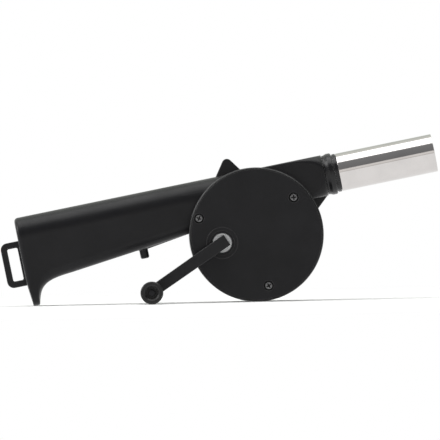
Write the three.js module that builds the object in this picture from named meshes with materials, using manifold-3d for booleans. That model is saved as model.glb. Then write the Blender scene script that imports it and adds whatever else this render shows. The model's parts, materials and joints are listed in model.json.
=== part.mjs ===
// Hand-cranked air blower: a gunstock handle, a round fan drum, a geared crank and a steel nozzle tube.
// Millimetres. Inside the body group x runs from the tail to the nozzle, z is up and y runs from the
// front cover to the back grille. The group is tilted so that drum and hook stand on one floor.
import * as THREE from 'three';
import { mergeVertices } from 'three/addons/utils/BufferGeometryUtils.js';
import Module from 'manifold-3d';

const wasm = await Module();
wasm.setup();

// Clearances
const seatGap = 0.3; // between two pieces that rest on each other
const runGap = 0.3; // round a piece that turns in another
const seamGap = 0.3; // between the two housing halves
const meshGap = 0.1; // added to the centre distance of two gears
const backlash = 0.24; // room between the teeth on the pitch circle
const rimClearance = 0.9; // from the crank gear's teeth to the drum's inner wall
const shaftClearance = 5.35; // from the crank gear's teeth to the fan's axis
const idlerClearance = 8.2; // from the idler gear's teeth to the drum's inner wall
const fanClearance = 6; // from the blades to the drum's inner wall

// Housing
const wall = 2.2;
const drumRadius = 42.2;
const drumFront = 22; // cover's front face, in front of the seam
const drumBack = 18; // back face, behind the seam
const drumBackRound = 2.5;
const drumStep = 1.6; // how far the drum stands above the body's top line
const overshoot = 1; // how far cutters, and bodies that are joined on, run past a face
const bodyDepth = 28; // of handle and duct, from front to back

// Handle, measured from the drum's axis
const tailReach = 147.7;
const tailRound = 2.5;
const handleHeightTail = 40.6;
const handleHeightNeck = 32;
const neckReach = 43.5; // where the lower height is measured
const topRound = 8.5;
const undersideRound = 3.5;
const ribThickness = 1.6;
const ribDepth = 6;
const ribReaches = [128, 112, 78, 62];

// Hook below the tail
const hookLength = 28.6; // from the tail to where the hook's curve meets the underside
const hookDrop = 16;
const hookTipWidth = 4.5;
const hookTipRound = 1;
const hookLean = 1.3; // how far the hook's back leans forward
const hookCurve = { tipRun: 0.1, tipDrop: 0.33, palmRun: 0.22, palmDrop: 0.08 }; // shares of run and drop

// Strap loop
const loopReach = 12.1;
const loopHeight = 28.6;
const loopBar = 4;
const loopEdge = 1.4; // strip that lies on the tail's end face
const loopDepth = 5;
const loopRound = 4.2;
const loopHoleRound = 1.05;
const loopDrop = 2.4; // how far the loop's foot lies below the underside

// Peg under the handle
const pegReach = 71.4;
const pegDiameter = 5;
const pegLength = 6.1;
const pegFlare = 1.8;
const pegTipRound = 1.25;

// Fin on top
const finReach = 9.05;
const finBase = 17.1;
const finHeight = 9.8;
const finRound = 3.2;
const finThickness = 6;
const finBevel = 0.6;

// Duct and its web
const ductHeight = 25.8;
const ductReach = 49.8;
const ductNeckDiameter = 25.8;
const ductCorner = 1.2;
const ductNeckFlat = 0.8; // half the flat that each side keeps at the neck
const ductWall = 1.9;
const webReach = 49.1;
const webDrop = 7;
const webThickness = 3;

// Collar and tube
const collarDiameter = 26.3;
const collarLength = 6;
const collarNotch = 0.6;
const collarLipLength = 2;
const collarLipProud = 0.1; // of the thin ring, over the tube's radius
const collarEdge = 0.3;
const collarWall = 1.5;
const collarTail = 6; // inside the duct's neck
const collarSpigot = 11; // inside the tube
const tubeDiameter = 24;
const tubeWall = 0.7;
const tubeLength = 61.4;
const tubeEdge = 0.23;

// Cover
const coverThickness = 2.2;
const coverInset = 0.8; // of its rim from the drum's outside
const coverChamfer = 0.5;
const coverLip = 1.4;
const coverRingInner = 7.7;
const coverRingOuter = 9.9;
const coverRingHeight = 0.5;
const coverRingBevel = 0.25;
const shaftSocketLength = 3.2; // of the cover's socket for the fan shaft
const axlePocket = 1.1; // depth of the cover's blind hole for the idler axle

// Cover screws: angle round the drum's axis in degrees, and distance from the drum's inner wall
const coverScrews = [
  { angle: 152.8, inset: 2.4 },
  { angle: 33.4, inset: 7 },
  { angle: -88.2, inset: 7 },
];

// Screws
const screwHeadDiameter = 4.6;
const screwHeadHeight = 1.2;
const screwHeadEdge = 0.4;
const screwShankDiameter = 2.6;
const screwPoint = 2;
const crossWidth = 0.8;
const crossDepth = 0.7;
const crossMargin = 0.87; // from the cross's ends to the head's edge
const coverScrewLength = 8;
const screwRecessDiameter = 6.4;
const screwRecessDepth = 1.6;
const screwPad = 0.8; // thickening of the cover behind each recess
const screwPadWall = 0.8; // round the recess
const bossWall = 1.7;
const shelfWall = 0.85; // round a housing screw's recess

// Housing screws, put in from the back: distance from the drum's axis along the body, and height
const bodyScrewReaches = [137, 95, 49];
const bodyScrewHeight = 22;
const saddleScrew = { x: -36, z: 31 };
const ductScrewReach = 27;
const ductScrewDrop = 4.4; // below the body's top line
const bodyScrewLength = 13;
const bodyScrewSink = 6.3; // from the seam back to the screw's seat

// Gears
const pressureAngle = THREE.MathUtils.degToRad(25);
const addendum = 0.85; // in modules
const dedendum = 1.2;
const slowModule = 1;
const fastModule = 0.8;
const crankAxisAngle = 182; // degrees round the drum's axis
const idlerPinionTeeth = 10;
const fanPinionTeeth = 9;
const crankGearWidth = 5;
const idlerGearWidth = 3.5;
const fanPinionWidth = 4;
const gearSpacing = 0.8; // along the axes, between gears and what lies beside them
const pocketDepth = 12; // from the cover to the pocket's floor
const floorThickness = 2.5;
const axleFloor = 0.8; // what is left of the pocket's floor behind the idler axle
const webHoleCount = 6; // round holes in the crank gear

// Shafts and bushes
const idlerAxleDiameter = 3;
const fanShaftDiameter = 2.4;
const bushDiameter = 5.4;
const bushLength = 4;
const bushFlangeDiameter = 7.2;
const bushFlange = 0.8;

// Crank
const hubDiameter = 12;
const hubProud = 1.5; // how far the hub stands in front of the cover
const journalDiameter = 7.2;
const journalLength = 3;
const armWidthHub = 8;
const armWidthKnob = 7.2;
const armThickness = 5;
const armBevel = 0.6;
const armEnd = 3.5; // beyond the crank's axis
const armLength = 54.2;
const armAngle = 203.3; // degrees, of the arm in the body's plane
const shankSide = 6.6;
const shankLength = 6.5;
const crankScrewLength = 7;
const crankScrewHead = 5;

// Knob
const knobDiameter = 13.8;
const knobBaseDiameter = 12.6;
const knobLength = 25;
const knobRound = 1;
const knobBaseEdge = 0.5;
const knobRecessDiameter = 8.9;
const knobRecessDepth = 3.5;
const pinDiameter = 3;
const pinHeadDiameter = 4.5;
const pinHeadHeight = 1.6;
const pinHeadEdge = 0.5;
const pinGrip = 3.6; // length of the pin inside the arm

// Impeller
const bladeCount = 8;
const bladeWidth = 15;
const bladeThickness = 1.4;
const bladeInner = 11;
const bladeSweep = 38; // degrees round the axis, from root to tip
const bladeCurl = 1.3; // power above 1: the sweep grows towards the tip
const discThickness = 1.6;
const impellerHubDiameter = 9;
const impellerHubFoot = 2.6; // cone between hub and disc
const impellerHubShort = 3.75; // how far the hub ends short of the blades' edge

// Grille
const grilleRings = 3;
const grilleSpokes = 6;
const grilleInner = 8;
const slotWidth = 3.2;
const slotPitch = 5.6;
const spokeWidth = 2.4;
const bearingWall = 1.6;

// Facets round a circle
const drumFacets = 52;
const tubeFacets = 28;
const hubFacets = 20;
const smallFacets = 12;
const bossFacets = 10;
const topFacets = 5; // in each rounded corner of the handle's top
const undersideFacets = 3; // in each rounded corner of its underside
const cornerFacets = 4; // in every other rounded corner
const bladeFacets = 3; // along each blade

// Places worked out from the sizes above
const drumInner = drumRadius - wall;
const bodyTop = drumRadius - drumStep;
const halfDepth = bodyDepth / 2;
const ductBottom = bodyTop - ductHeight;
const tubeAxis = bodyTop - ductHeight / 2;
const coverBackFace = -drumFront + coverThickness;
const rimFace = coverBackFace + seatGap;
const pocketFloor = coverBackFace + pocketDepth - seatGap;
const chamberFront = pocketFloor + floorThickness;
const chamberBack = drumBack - wall;
const underside = bodyTop - handleHeightTail;
const hookEnd = hookLength - tailReach;
const undersideSlope = (handleHeightTail - handleHeightNeck) / (-neckReach - hookEnd);
const undersideAt = (x) => underside + undersideSlope * (x - hookEnd);
const polar = (radius, degrees) => {
  const angle = THREE.MathUtils.degToRad(degrees);
  return { x: radius * Math.cos(angle), z: radius * Math.sin(angle) };
};

// Gear train: the crank gear fills the room between the fan's axis and the drum's wall
const crankReach = (drumInner - rimClearance + shaftClearance) / 2;
const crankTipRoom = (drumInner - rimClearance - shaftClearance) / 2;
const crankTeeth = Math.floor((crankTipRoom / slowModule - addendum) * 2);
const idlerRoom = drumInner - idlerClearance - meshGap;
const idlerTeeth = Math.floor(idlerRoom / fastModule - addendum - fanPinionTeeth / 2);
const slowDistance = ((crankTeeth + idlerPinionTeeth) * slowModule) / 2 + meshGap;
const fastDistance = ((idlerTeeth + fanPinionTeeth) * fastModule) / 2 + meshGap;
const fanAxis = { x: 0, z: 0 };
const crankAxis = polar(crankReach, crankAxisAngle);
const idlerAxis = meetingPoint(fanAxis, fastDistance, crankAxis, slowDistance);

// Where each gear lies along y
const crankGearFront = coverBackFace + gearSpacing;
const crankGearBack = crankGearFront + crankGearWidth;
const idlerGearFront = crankGearBack + gearSpacing;
const idlerGearBack = idlerGearFront + idlerGearWidth;
const fanPinionFront = idlerGearBack - fanPinionWidth;
const armBack = -drumFront - hubProud - seatGap;
const armFront = armBack - armThickness;
const socketBack = armBack + shankLength + seatGap;
const knobBack = armFront - seatGap;
const knobFront = knobBack - knobLength;
const axleFront = coverBackFace - axlePocket;
const axleBack = chamberFront - axleFloor;
const frontBushFront = pocketFloor - seatGap - bushFlange;
const frontBushBack = frontBushFront + bushFlange + bushLength;
const rearBushFront = chamberBack - bushLength;
const impellerFront = frontBushBack + gearSpacing;
const coverScrewFace = -drumFront + screwRecessDepth - seatGap - screwHeadHeight;
const coverScrewTip = coverScrewFace + coverScrewLength;

// The point above the line between two centres that lies at the two given distances
function meetingPoint(a, distanceA, b, distanceB) {
  const dx = b.x - a.x;
  const dz = b.z - a.z;
  const span = Math.hypot(dx, dz);
  const along = (distanceA ** 2 - distanceB ** 2 + span ** 2) / (2 * span);
  const across = Math.sqrt(distanceA ** 2 - along ** 2);
  return {
    x: a.x + (along * dx + across * dz) / span,
    z: a.z + (along * dz - across * dx) / span,
  };
}

// A closed solid from a three.js geometry, its faces turned outwards
function solid(geometry) {
  const bare = geometry.index ? geometry.toNonIndexed() : geometry;
  bare.deleteAttribute('normal');
  bare.deleteAttribute('uv');
  const merged = mergeVertices(bare, 1e-4);
  const position = merged.attributes.position;
  const index = merged.index.array;
  const corner = [new THREE.Vector3(), new THREE.Vector3(), new THREE.Vector3()];
  const triangles = [];
  let volume = 0;
  for (let i = 0; i < index.length; i += 3) {
    const [a, b, c] = [index[i], index[i + 1], index[i + 2]];
    if (a === b || b === c || c === a) continue;
    [a, b, c].forEach((vertex, k) => corner[k].fromBufferAttribute(position, vertex));
    volume += corner[0].dot(corner[1].cross(corner[2]));
    triangles.push(a, b, c);
  }
  if (volume < 0) triangles.reverse();
  return new wasm.Manifold(new wasm.Mesh({
    numProp: 3,
    vertProperties: new Float32Array(position.array),
    triVerts: new Uint32Array(triangles),
  }));
}

const join = (...solids) => solids.reduce((whole, next) => whole.add(next));
const cut = (base, ...tools) => tools.reduce((rest, next) => rest.subtract(next), base);

// A three.js geometry from a solid
function geometryOf(manifold) {
  const mesh = manifold.getMesh();
  const geometry = new THREE.BufferGeometry();
  const positions = new Float32Array(mesh.numVert * 3);
  for (let i = 0; i < mesh.numVert; i += 1) {
    for (let k = 0; k < 3; k += 1) positions[i * 3 + k] = mesh.vertProperties[i * mesh.numProp + k];
  }
  geometry.setAttribute('position', new THREE.BufferAttribute(positions, 3));
  geometry.setIndex(new THREE.BufferAttribute(new Uint32Array(mesh.triVerts), 1));
  geometry.computeVertexNormals();
  return geometry;
}

// Plain solids: a box between two corners, and an outline in x and z pushed from one y to another
function block(low, high) {
  const size = high.map((value, k) => value - low[k]);
  const geometry = new THREE.BoxGeometry(...size);
  geometry.translate(...low.map((value, k) => value + size[k] / 2));
  return solid(geometry);
}

function push(shape, front, back, bevel = 0, arcFacets = cornerFacets) {
  const geometry = new THREE.ExtrudeGeometry(shape, {
    depth: back - front - 2 * bevel,
    steps: 1,
    curveSegments: arcFacets / 2,
    bevelEnabled: bevel > 0,
    bevelThickness: bevel,
    bevelSize: bevel,
    bevelOffset: -bevel,
    bevelSegments: 1,
  });
  geometry.rotateX(Math.PI / 2);
  geometry.translate(0, back - bevel, 0);
  return solid(geometry);
}

// Turned solids: a profile of [radius, place along the axis], about an axis along y, x or z
function turn(profile, facets = smallFacets) {
  const points = profile.map(([radius, along]) => new THREE.Vector2(radius, along));
  return new THREE.LatheGeometry(points, facets);
}

function turnY(profile, axis = fanAxis, facets = smallFacets) {
  return solid(turn(profile, facets).translate(axis.x, 0, axis.z));
}

function turnX(profile, facets = tubeFacets) {
  return solid(turn(profile, facets).rotateZ(-Math.PI / 2).translate(0, 0, tubeAxis));
}

// A plain cylinder about y
function rod(radius, front, back, axis = fanAxis, facets = smallFacets) {
  return turnY([[0, front], [radius, front], [radius, back], [0, back]], axis, facets);
}

// Sections along x, each a ring of [y, z] points in the same order, joined and capped
function loft(stations) {
  const count = stations[0].ring.length;
  const positions = [];
  for (const { x, ring } of stations) {
    for (const [y, z] of ring) positions.push(x, y, z);
  }
  const index = [];
  for (let s = 0; s < stations.length - 1; s += 1) {
    for (let i = 0; i < count; i += 1) {
      const a = s * count + i;
      const b = s * count + ((i + 1) % count);
      index.push(a, b, a + count, b, b + count, a + count);
    }
  }
  const last = (stations.length - 1) * count;
  for (let i = 1; i < count - 1; i += 1) {
    index.push(0, i + 1, i, last, last + i, last + i + 1);
  }
  const geometry = new THREE.BufferGeometry();
  geometry.setAttribute('position', new THREE.Float32BufferAttribute(positions, 3));
  geometry.setIndex(index);
  return solid(geometry);
}

// A rectangle with rounded corners, in y and z
function roundedRing(halfWidth, bottom, top, bottomRadius, topRadius, facets) {
  const [topCount, bottomCount] = facets;
  const corners = [
    [halfWidth - topRadius, top - topRadius, topRadius, 0, topCount],
    [topRadius - halfWidth, top - topRadius, topRadius, 90, topCount],
    [bottomRadius - halfWidth, bottom + bottomRadius, bottomRadius, 180, bottomCount],
    [halfWidth - bottomRadius, bottom + bottomRadius, bottomRadius, 270, bottomCount],
  ];
  const ring = [];
  for (const [y, z, radius, start, count] of corners) {
    for (let i = 0; i <= count; i += 1) {
      const point = polar(radius, start + (90 * i) / count);
      ring.push([y + point.x, z + point.z]);
    }
  }
  return ring;
}

const handleFacets = [topFacets, undersideFacets];

// Underside of tail and hook, from the end face to where the handle runs straight
function hookOutline() {
  const bottom = underside - hookDrop;
  const backEdge = -tailReach + hookLean;
  const arcHeight = bottom + hookTipRound;
  const backArc = new THREE.EllipseCurve(
    backEdge + hookTipRound, arcHeight, hookTipRound, hookTipRound, Math.PI, 1.5 * Math.PI);
  const frontEdge = backEdge + hookTipWidth;
  const frontArc = new THREE.EllipseCurve(
    frontEdge - hookTipRound, arcHeight, hookTipRound, hookTipRound, 1.5 * Math.PI, 2 * Math.PI);
  const drop = underside - arcHeight;
  const run = hookEnd - frontEdge;
  const palm = new THREE.CubicBezierCurve(
    new THREE.Vector2(frontEdge, arcHeight),
    new THREE.Vector2(frontEdge + run * hookCurve.tipRun, underside - drop * hookCurve.tipDrop),
    new THREE.Vector2(frontEdge + run * hookCurve.palmRun, underside - drop * hookCurve.palmDrop),
    new THREE.Vector2(hookEnd, underside));
  return [
    new THREE.Vector2(-tailReach, underside - loopDrop),
    ...backArc.getPoints(2),
    ...frontArc.getPoints(2),
    ...palm.getPoints(6).slice(1),
  ];
}

// How far the section draws in at a distance from the tail's end face
function tailInset(x) {
  const left = tailRound - (x + tailReach);
  if (left <= 0) return 0;
  return tailRound - Math.sqrt(tailRound ** 2 - left ** 2);
}

function handleOutside() {
  const stations = hookOutline().map((point) => {
    const inset = tailInset(point.x);
    return {
      x: point.x,
      ring: roundedRing(
        halfDepth - inset, point.y, bodyTop - inset, undersideRound, topRound, handleFacets),
    };
  });
  for (const x of [-neckReach, 0]) {
    stations.push({
      x,
      ring: roundedRing(halfDepth, undersideAt(x), bodyTop, undersideRound, topRound, handleFacets),
    });
  }
  return loft(stations);
}

// The handle without its hook, drawn in on all sides by an inset
function handleSpace(inset) {
  return loft([-tailReach + inset, -drumRadius / 2].map((x) => ({
    x,
    ring: roundedRing(halfDepth - inset, undersideAt(x) + inset, bodyTop - inset,
      undersideRound - inset, topRound - inset, handleFacets),
  })));
}

function handleInside() {
  return cut(handleSpace(wall), rod(drumRadius, -drumFront, drumBack, fanAxis, drumFacets));
}

// The duct is a square box whose corners grow round towards the neck, drawn in by an inset
function duct(inset) {
  const neckRadius = ductNeckDiameter / 2;
  const stations = [{ x: 0, corner: ductCorner, half: halfDepth }];
  const steps = 6;
  for (let i = 0; i <= steps; i += 1) {
    const angle = (Math.PI / 2) * (i / steps);
    const turned = 1 - Math.cos(angle);
    stations.push({
      x: ductReach - neckRadius * (1 - Math.sin(angle)),
      corner: ductCorner + (neckRadius - ductNeckFlat - ductCorner) * turned,
      half: halfDepth + (neckRadius - halfDepth) * turned,
    });
  }
  if (inset > 0) stations.push({ ...stations.at(-1), x: ductReach + overshoot });
  return loft(stations.map(({ x, corner, half }) => {
    const radius = Math.max(corner - inset, ductCorner);
    const ring = roundedRing(
      half - inset, ductBottom + inset, bodyTop - inset, radius, radius, [cornerFacets, cornerFacets]);
    return { x, ring };
  }));
}

function drumOutside() {
  const round = drumBackRound;
  const rounding = [0, 45, 90].map((angle) => {
    const point = polar(round, angle);
    return [drumRadius - round + point.x, drumBack - round + point.z];
  });
  return turnY([[0, rimFace], [drumRadius, rimFace], ...rounding, [0, drumBack]], fanAxis, drumFacets);
}

// The fin: two straight edges that touch a round tip
function fin() {
  const half = finBase / 2;
  const rise = finHeight - finRound;
  const slope = Math.atan2(rise, half) + Math.asin(finRound / Math.hypot(half, rise));
  const centre = { x: -finReach, z: bodyTop + rise };
  const shape = new THREE.Shape();
  const foot = drumStep + wall;
  const spread = foot / Math.tan(slope);
  shape.moveTo(centre.x - half - spread, bodyTop - foot);
  shape.lineTo(centre.x + half + spread, bodyTop - foot);
  shape.absarc(centre.x, centre.z, finRound, Math.PI / 2 - slope, Math.PI / 2 + slope, false);
  return push(shape, -finThickness / 2, finThickness / 2, finBevel);
}

function peg() {
  const radius = pegDiameter / 2;
  const base = undersideAt(-pegReach);
  const bottom = base - pegLength;
  const tip = [0, 45, 90].map((angle) => {
    const point = polar(pegTipRound, angle);
    return [radius - pegTipRound + point.z, bottom + pegTipRound - point.x];
  });
  const flare = [0, 45, 90].map((angle) => {
    const point = polar(pegFlare, angle);
    return [radius + pegFlare - point.x, base - pegFlare + point.z];
  });
  const profile = [[0, bottom], ...tip, ...flare, [radius + pegFlare, base + wall], [0, base + wall]];
  const geometry = turn(profile).rotateX(Math.PI / 2);
  return solid(geometry.translate(-pegReach, 0, 0));
}

function roundedRectangle(shape, left, bottom, right, top, leftRadius, rightRadius) {
  shape.moveTo(left + leftRadius, bottom);
  shape.lineTo(right - rightRadius, bottom);
  shape.absarc(right - rightRadius, bottom + rightRadius, rightRadius, -Math.PI / 2, 0, false);
  shape.lineTo(right, top - rightRadius);
  shape.absarc(right - rightRadius, top - rightRadius, rightRadius, 0, Math.PI / 2, false);
  shape.lineTo(left + leftRadius, top);
  shape.absarc(left + leftRadius, top - leftRadius, leftRadius, Math.PI / 2, Math.PI, false);
  shape.lineTo(left, bottom + leftRadius);
  shape.absarc(left + leftRadius, bottom + leftRadius, leftRadius, Math.PI, 1.5 * Math.PI, false);
  return shape;
}

function strapLoop() {
  const left = -tailReach - loopReach;
  const bottom = underside - loopDrop;
  const top = bottom + loopHeight;
  const right = -tailReach + wall / 2;
  const shape = roundedRectangle(new THREE.Shape(), left, bottom, right, top, loopRound, wall / 4);
  shape.holes.push(roundedRectangle(
    new THREE.Path(), left + loopBar, bottom + loopBar, -tailReach - loopEdge, top - loopBar,
    loopHoleRound, loopHoleRound));
  return push(shape, -loopDepth / 2, loopDepth / 2);
}

// Thin web in the corner between the drum and the duct
function web() {
  const shape = new THREE.Shape();
  const foot = Math.sqrt(drumRadius ** 2 - (ductBottom - webDrop) ** 2);
  shape.moveTo(foot - 2 * wall, ductBottom - webDrop);
  shape.lineTo(foot, ductBottom - webDrop);
  shape.lineTo(webReach, ductBottom);
  shape.lineTo(webReach, ductBottom + ductWall / 2);
  shape.lineTo(foot - 2 * wall, ductBottom + ductWall / 2);
  return push(shape, -webThickness / 2, webThickness / 2);
}

function housingOutside() {
  return join(handleOutside(), duct(0), drumOutside(), fin(), peg(), strapLoop(), web());
}

// Air space of chamber and duct; the gear pocket in front of it stays closed off
function airSpace() {
  const pocketOutside = rod(drumRadius, -drumFront, chamberFront, fanAxis, drumFacets);
  const chamber = rod(drumInner, chamberFront, chamberBack, fanAxis, drumFacets);
  return join(cut(duct(ductWall), pocketOutside), chamber);
}

const coverScrewAxes = coverScrews.map(({ angle, inset }) => polar(drumInner - inset, angle));
const bodyScrewAxes = [
  ...bodyScrewReaches.map((reach) => ({ x: -reach, z: bodyScrewHeight })),
  saddleScrew,
  { x: ductScrewReach, z: bodyTop - ductScrewDrop },
];
const pilotRadius = screwShankDiameter / 2 + seatGap;
const bossRadius = pilotRadius + bossWall;

// Stiffening ribs across the handle, on one side of the seam
function ribs(side) {
  const room = handleSpace(wall / 2);
  const [low, high] = [side * halfDepth, side * (halfDepth - wall - ribDepth)].sort((a, b) => a - b);
  return ribReaches.map((reach) => room.intersect(block(
    [-reach - ribThickness / 2, low, underside - wall],
    [-reach + ribThickness / 2, high, bodyTop])));
}

function halfSpace(side) {
  const far = 4 * drumRadius;
  const length = 2 * tailReach;
  const seam = seamGap / 2;
  return side < 0 ? block([-length, -far, -length], [length, -seam, length])
    : block([-length, seam, -length], [length, far, length]);
}

function frontShell() {
  const hollow = cut(housingOutside(), handleInside(), airSpace(),
    rod(drumInner, -drumFront, pocketFloor, fanAxis, drumFacets));
  const bodyBosses = bodyScrewAxes.map((axis) => rod(
    bossRadius, -halfDepth + wall / 2, 0, axis, bossFacets));
  const coverBosses = coverScrewAxes.map((axis) => rod(
    bossRadius, coverBackFace + screwPad + seatGap, chamberFront - overshoot, axis, bossFacets));
  const axleRadius = idlerAxleDiameter / 2 + seatGap;
  const bushRadius = bushDiameter / 2 + seatGap;
  const journalRadius = journalDiameter / 2 + runGap;
  const inFloor = pocketFloor + overshoot;
  const axleBoss = rod(axleRadius + bossWall, idlerGearBack + seatGap, inFloor, idlerAxis);
  const bushBoss = rod(bushRadius + bearingWall, inFloor, frontBushBack, fanAxis);
  const journalBoss = rod(
    journalRadius + bossWall, pocketFloor - journalLength, inFloor, crankAxis, hubFacets);
  const solidPart = join(hollow, ...bodyBosses, ...coverBosses, ...ribs(-1), axleBoss, bushBoss,
    journalBoss);
  const holes = [
    ...bodyScrewAxes.map((axis) => rod(
      pilotRadius, bodyScrewSink - bodyScrewLength - overshoot, overshoot, axis, bossFacets)),
    ...coverScrewAxes.map((axis) => rod(
      pilotRadius, -drumFront, coverScrewTip + overshoot, axis, bossFacets)),
    rod(axleRadius, -drumFront, axleBack, idlerAxis),
    rod(bushRadius, -drumFront, chamberBack, fanAxis),
    rod(journalRadius, -drumFront, pocketFloor, crankAxis, hubFacets),
  ];
  return cut(solidPart, ...holes).intersect(halfSpace(-1));
}

// Slots of the intake grille: rings of arcs between straight spokes
function grilleSlots() {
  const slots = [];
  for (let ring = 0; ring < grilleRings; ring += 1) {
    const inner = grilleInner + ring * slotPitch;
    const outer = inner + slotWidth;
    for (let spoke = 0; spoke < grilleSpokes; spoke += 1) {
      const middle = ((spoke + 0.5) * 2 * Math.PI) / grilleSpokes;
      const half = Math.PI / grilleSpokes - spokeWidth / 2 / ((inner + outer) / 2);
      const shape = new THREE.Shape();
      shape.absarc(0, 0, outer, middle - half, middle + half, false);
      shape.absarc(0, 0, inner, middle + half, middle - half, true);
      slots.push(push(shape, chamberBack - wall, drumBack + wall));
    }
  }
  return slots;
}

function rearShell() {
  const hollow = cut(housingOutside(), handleInside(), airSpace());
  const recessRadius = screwRecessDiameter / 2;
  const bushRadius = bushDiameter / 2 + seatGap;
  const bosses = bodyScrewAxes.map((axis) => rod(
    recessRadius + shelfWall, 0, halfDepth - wall / 2, axis, bossFacets));
  const bearing = rod(bushRadius + bearingWall, rearBushFront, drumBack, fanAxis);
  const solidPart = join(hollow, ...bosses, ...ribs(1), bearing);
  const holes = [
    ...bodyScrewAxes.map((axis) => rod(pilotRadius, -overshoot, halfDepth, axis, bossFacets)),
    ...bodyScrewAxes.map((axis) => rod(
      recessRadius, bodyScrewSink - seatGap, drumBack + overshoot, axis)),
    ...grilleSlots(),
    rod(bushRadius, chamberFront, chamberBack + seatGap, fanAxis),
  ];
  return cut(solidPart, ...holes).intersect(halfSpace(1));
}

// Bushes of the fan shaft: the front one is flanged and sits in the pocket's floor, the back one is
// plain and sits in the boss behind the grille
function frontBush() {
  const bore = fanShaftDiameter / 2 + runGap;
  const radius = bushDiameter / 2;
  const flange = bushFlangeDiameter / 2;
  const step = frontBushFront + bushFlange;
  return turnY([
    [bore, frontBushFront], [flange, frontBushFront], [flange, step], [radius, step],
    [radius, frontBushBack], [bore, frontBushBack], [bore, frontBushFront],
  ]);
}

function rearBush() {
  const bore = rod(fanShaftDiameter / 2 + runGap, chamberFront, drumBack);
  return cut(rod(bushDiameter / 2, rearBushFront, chamberBack), bore);
}

// Gear outline in x and z: involute flanks, straight roots; one tooth points along toothAngle
function gearShape(teeth, module, toothAngle) {
  const pitch = (module * teeth) / 2;
  const base = pitch * Math.cos(pressureAngle);
  const root = pitch - dedendum * module;
  const tip = pitch + addendum * module;
  const involute = (angle) => Math.tan(angle) - angle;
  const halfTooth = Math.PI / (2 * teeth) - backlash / 4 / pitch + involute(pressureAngle);
  const lowest = Math.max(root, base);
  const flank = [lowest, pitch, tip].map((radius) => {
    const inside = Math.acos(Math.min(1, base / radius));
    return { radius, half: halfTooth - involute(inside) };
  });
  if (root < base) flank.unshift({ radius: root, half: flank[0].half });
  const points = [];
  for (let tooth = 0; tooth < teeth; tooth += 1) {
    const middle = toothAngle + (tooth * 2 * Math.PI) / teeth;
    const side = (sign) => ({ radius, half }) => new THREE.Vector2(
      radius * Math.cos(middle + sign * half), radius * Math.sin(middle + sign * half));
    points.push(...flank.map(side(-1)), ...[...flank].reverse().map(side(1)));
  }
  return new THREE.Shape(points);
}

const directionTo = (from, to) => Math.atan2(to.z - from.z, to.x - from.x);
const armDirection = THREE.MathUtils.degToRad(armAngle);
const crankToIdler = directionTo(crankAxis, idlerAxis);
const idlerToFan = directionTo(idlerAxis, fanAxis);

// Crank group, about the crank's axis, with the arm along x
function crankGear() {
  const hubFront = -drumFront - hubProud;
  const journalBack = pocketFloor - seatGap;
  const teeth = push(
    gearShape(crankTeeth, slowModule, crankToIdler - armDirection), crankGearFront, crankGearBack);
  const hub = rod(hubDiameter / 2, hubFront, crankGearBack, fanAxis, hubFacets);
  const journal = rod(journalDiameter / 2, crankGearFront, journalBack, fanAxis, hubFacets);
  const side = shankSide / 2 + seatGap;
  const socket = block([-side, hubFront - overshoot, -side], [side, socketBack, side]);
  const bore = rod(pilotRadius, hubFront, journalBack);
  const sink = rod(crankScrewHead / 2 + seatGap, socketBack + bossWall, journalBack + overshoot);
  return cut(join(teeth, hub, journal), socket, bore, sink, ...webHoles());
}

// Round holes that lighten the crank gear's web
function webHoles() {
  const inner = hubDiameter / 2;
  const outer = (crankTeeth * slowModule) / 2 - dedendum * slowModule;
  const radius = (outer - inner) / 2 - bossWall;
  const holes = [];
  for (let hole = 0; hole < webHoleCount; hole += 1) {
    const centre = polar((inner + outer) / 2, ((hole + 0.5) * 360) / webHoleCount);
    holes.push(rod(
      radius, crankGearFront - overshoot, crankGearBack + overshoot, centre, bossFacets));
  }
  return holes;
}

function crankArm() {
  const halfHub = armWidthHub / 2;
  const halfKnob = armWidthKnob / 2;
  const shape = new THREE.Shape();
  shape.moveTo(-armEnd, -halfHub);
  shape.lineTo(0, -halfHub);
  shape.lineTo(armLength, -halfKnob);
  shape.absarc(armLength, 0, halfKnob, -Math.PI / 2, Math.PI / 2, false);
  shape.lineTo(0, halfHub);
  shape.lineTo(-armEnd, halfHub);
  const side = shankSide / 2;
  const bar = push(shape, armFront, armBack, armBevel, 2 * cornerFacets);
  const shank = block([-side, armBack - overshoot, -side], [side, armBack + shankLength, side]);
  const pilot = rod(pilotRadius, armBack, drumBack);
  const pinHole = rod(
    pinDiameter / 2 + seatGap, armFront - overshoot, armFront + pinGrip + seatGap, { x: armLength, z: 0 });
  return cut(join(bar, shank), pilot, pinHole);
}

// A screw whose head lies at headFace and whose point lies towards direction along y
function screw(headFace, direction, length, headDiameter, axis) {
  const head = headDiameter / 2;
  const shank = screwShankDiameter / 2;
  const along = (distance) => headFace + direction * distance;
  const body = turnY([
    [0, along(0)], [head - screwHeadEdge, along(0)], [head, along(screwHeadEdge)],
    [head, along(screwHeadHeight)],
    [shank, along(screwHeadHeight)], [shank, along(length - screwPoint)], [0, along(length)],
  ], axis);
  const reach = head - crossMargin;
  const slot = (halfX, halfZ) => {
    const ends = [along(-overshoot), along(crossDepth)].sort((a, b) => a - b);
    return block([axis.x - halfX, ends[0], axis.z - halfZ], [axis.x + halfX, ends[1], axis.z + halfZ]);
  };
  return cut(body, slot(reach, crossWidth / 2), slot(crossWidth / 2, reach));
}

function crankScrew() {
  const face = socketBack + bossWall + seatGap + screwHeadHeight;
  return screw(face, -1, crankScrewLength, crankScrewHead, fanAxis);
}

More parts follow.
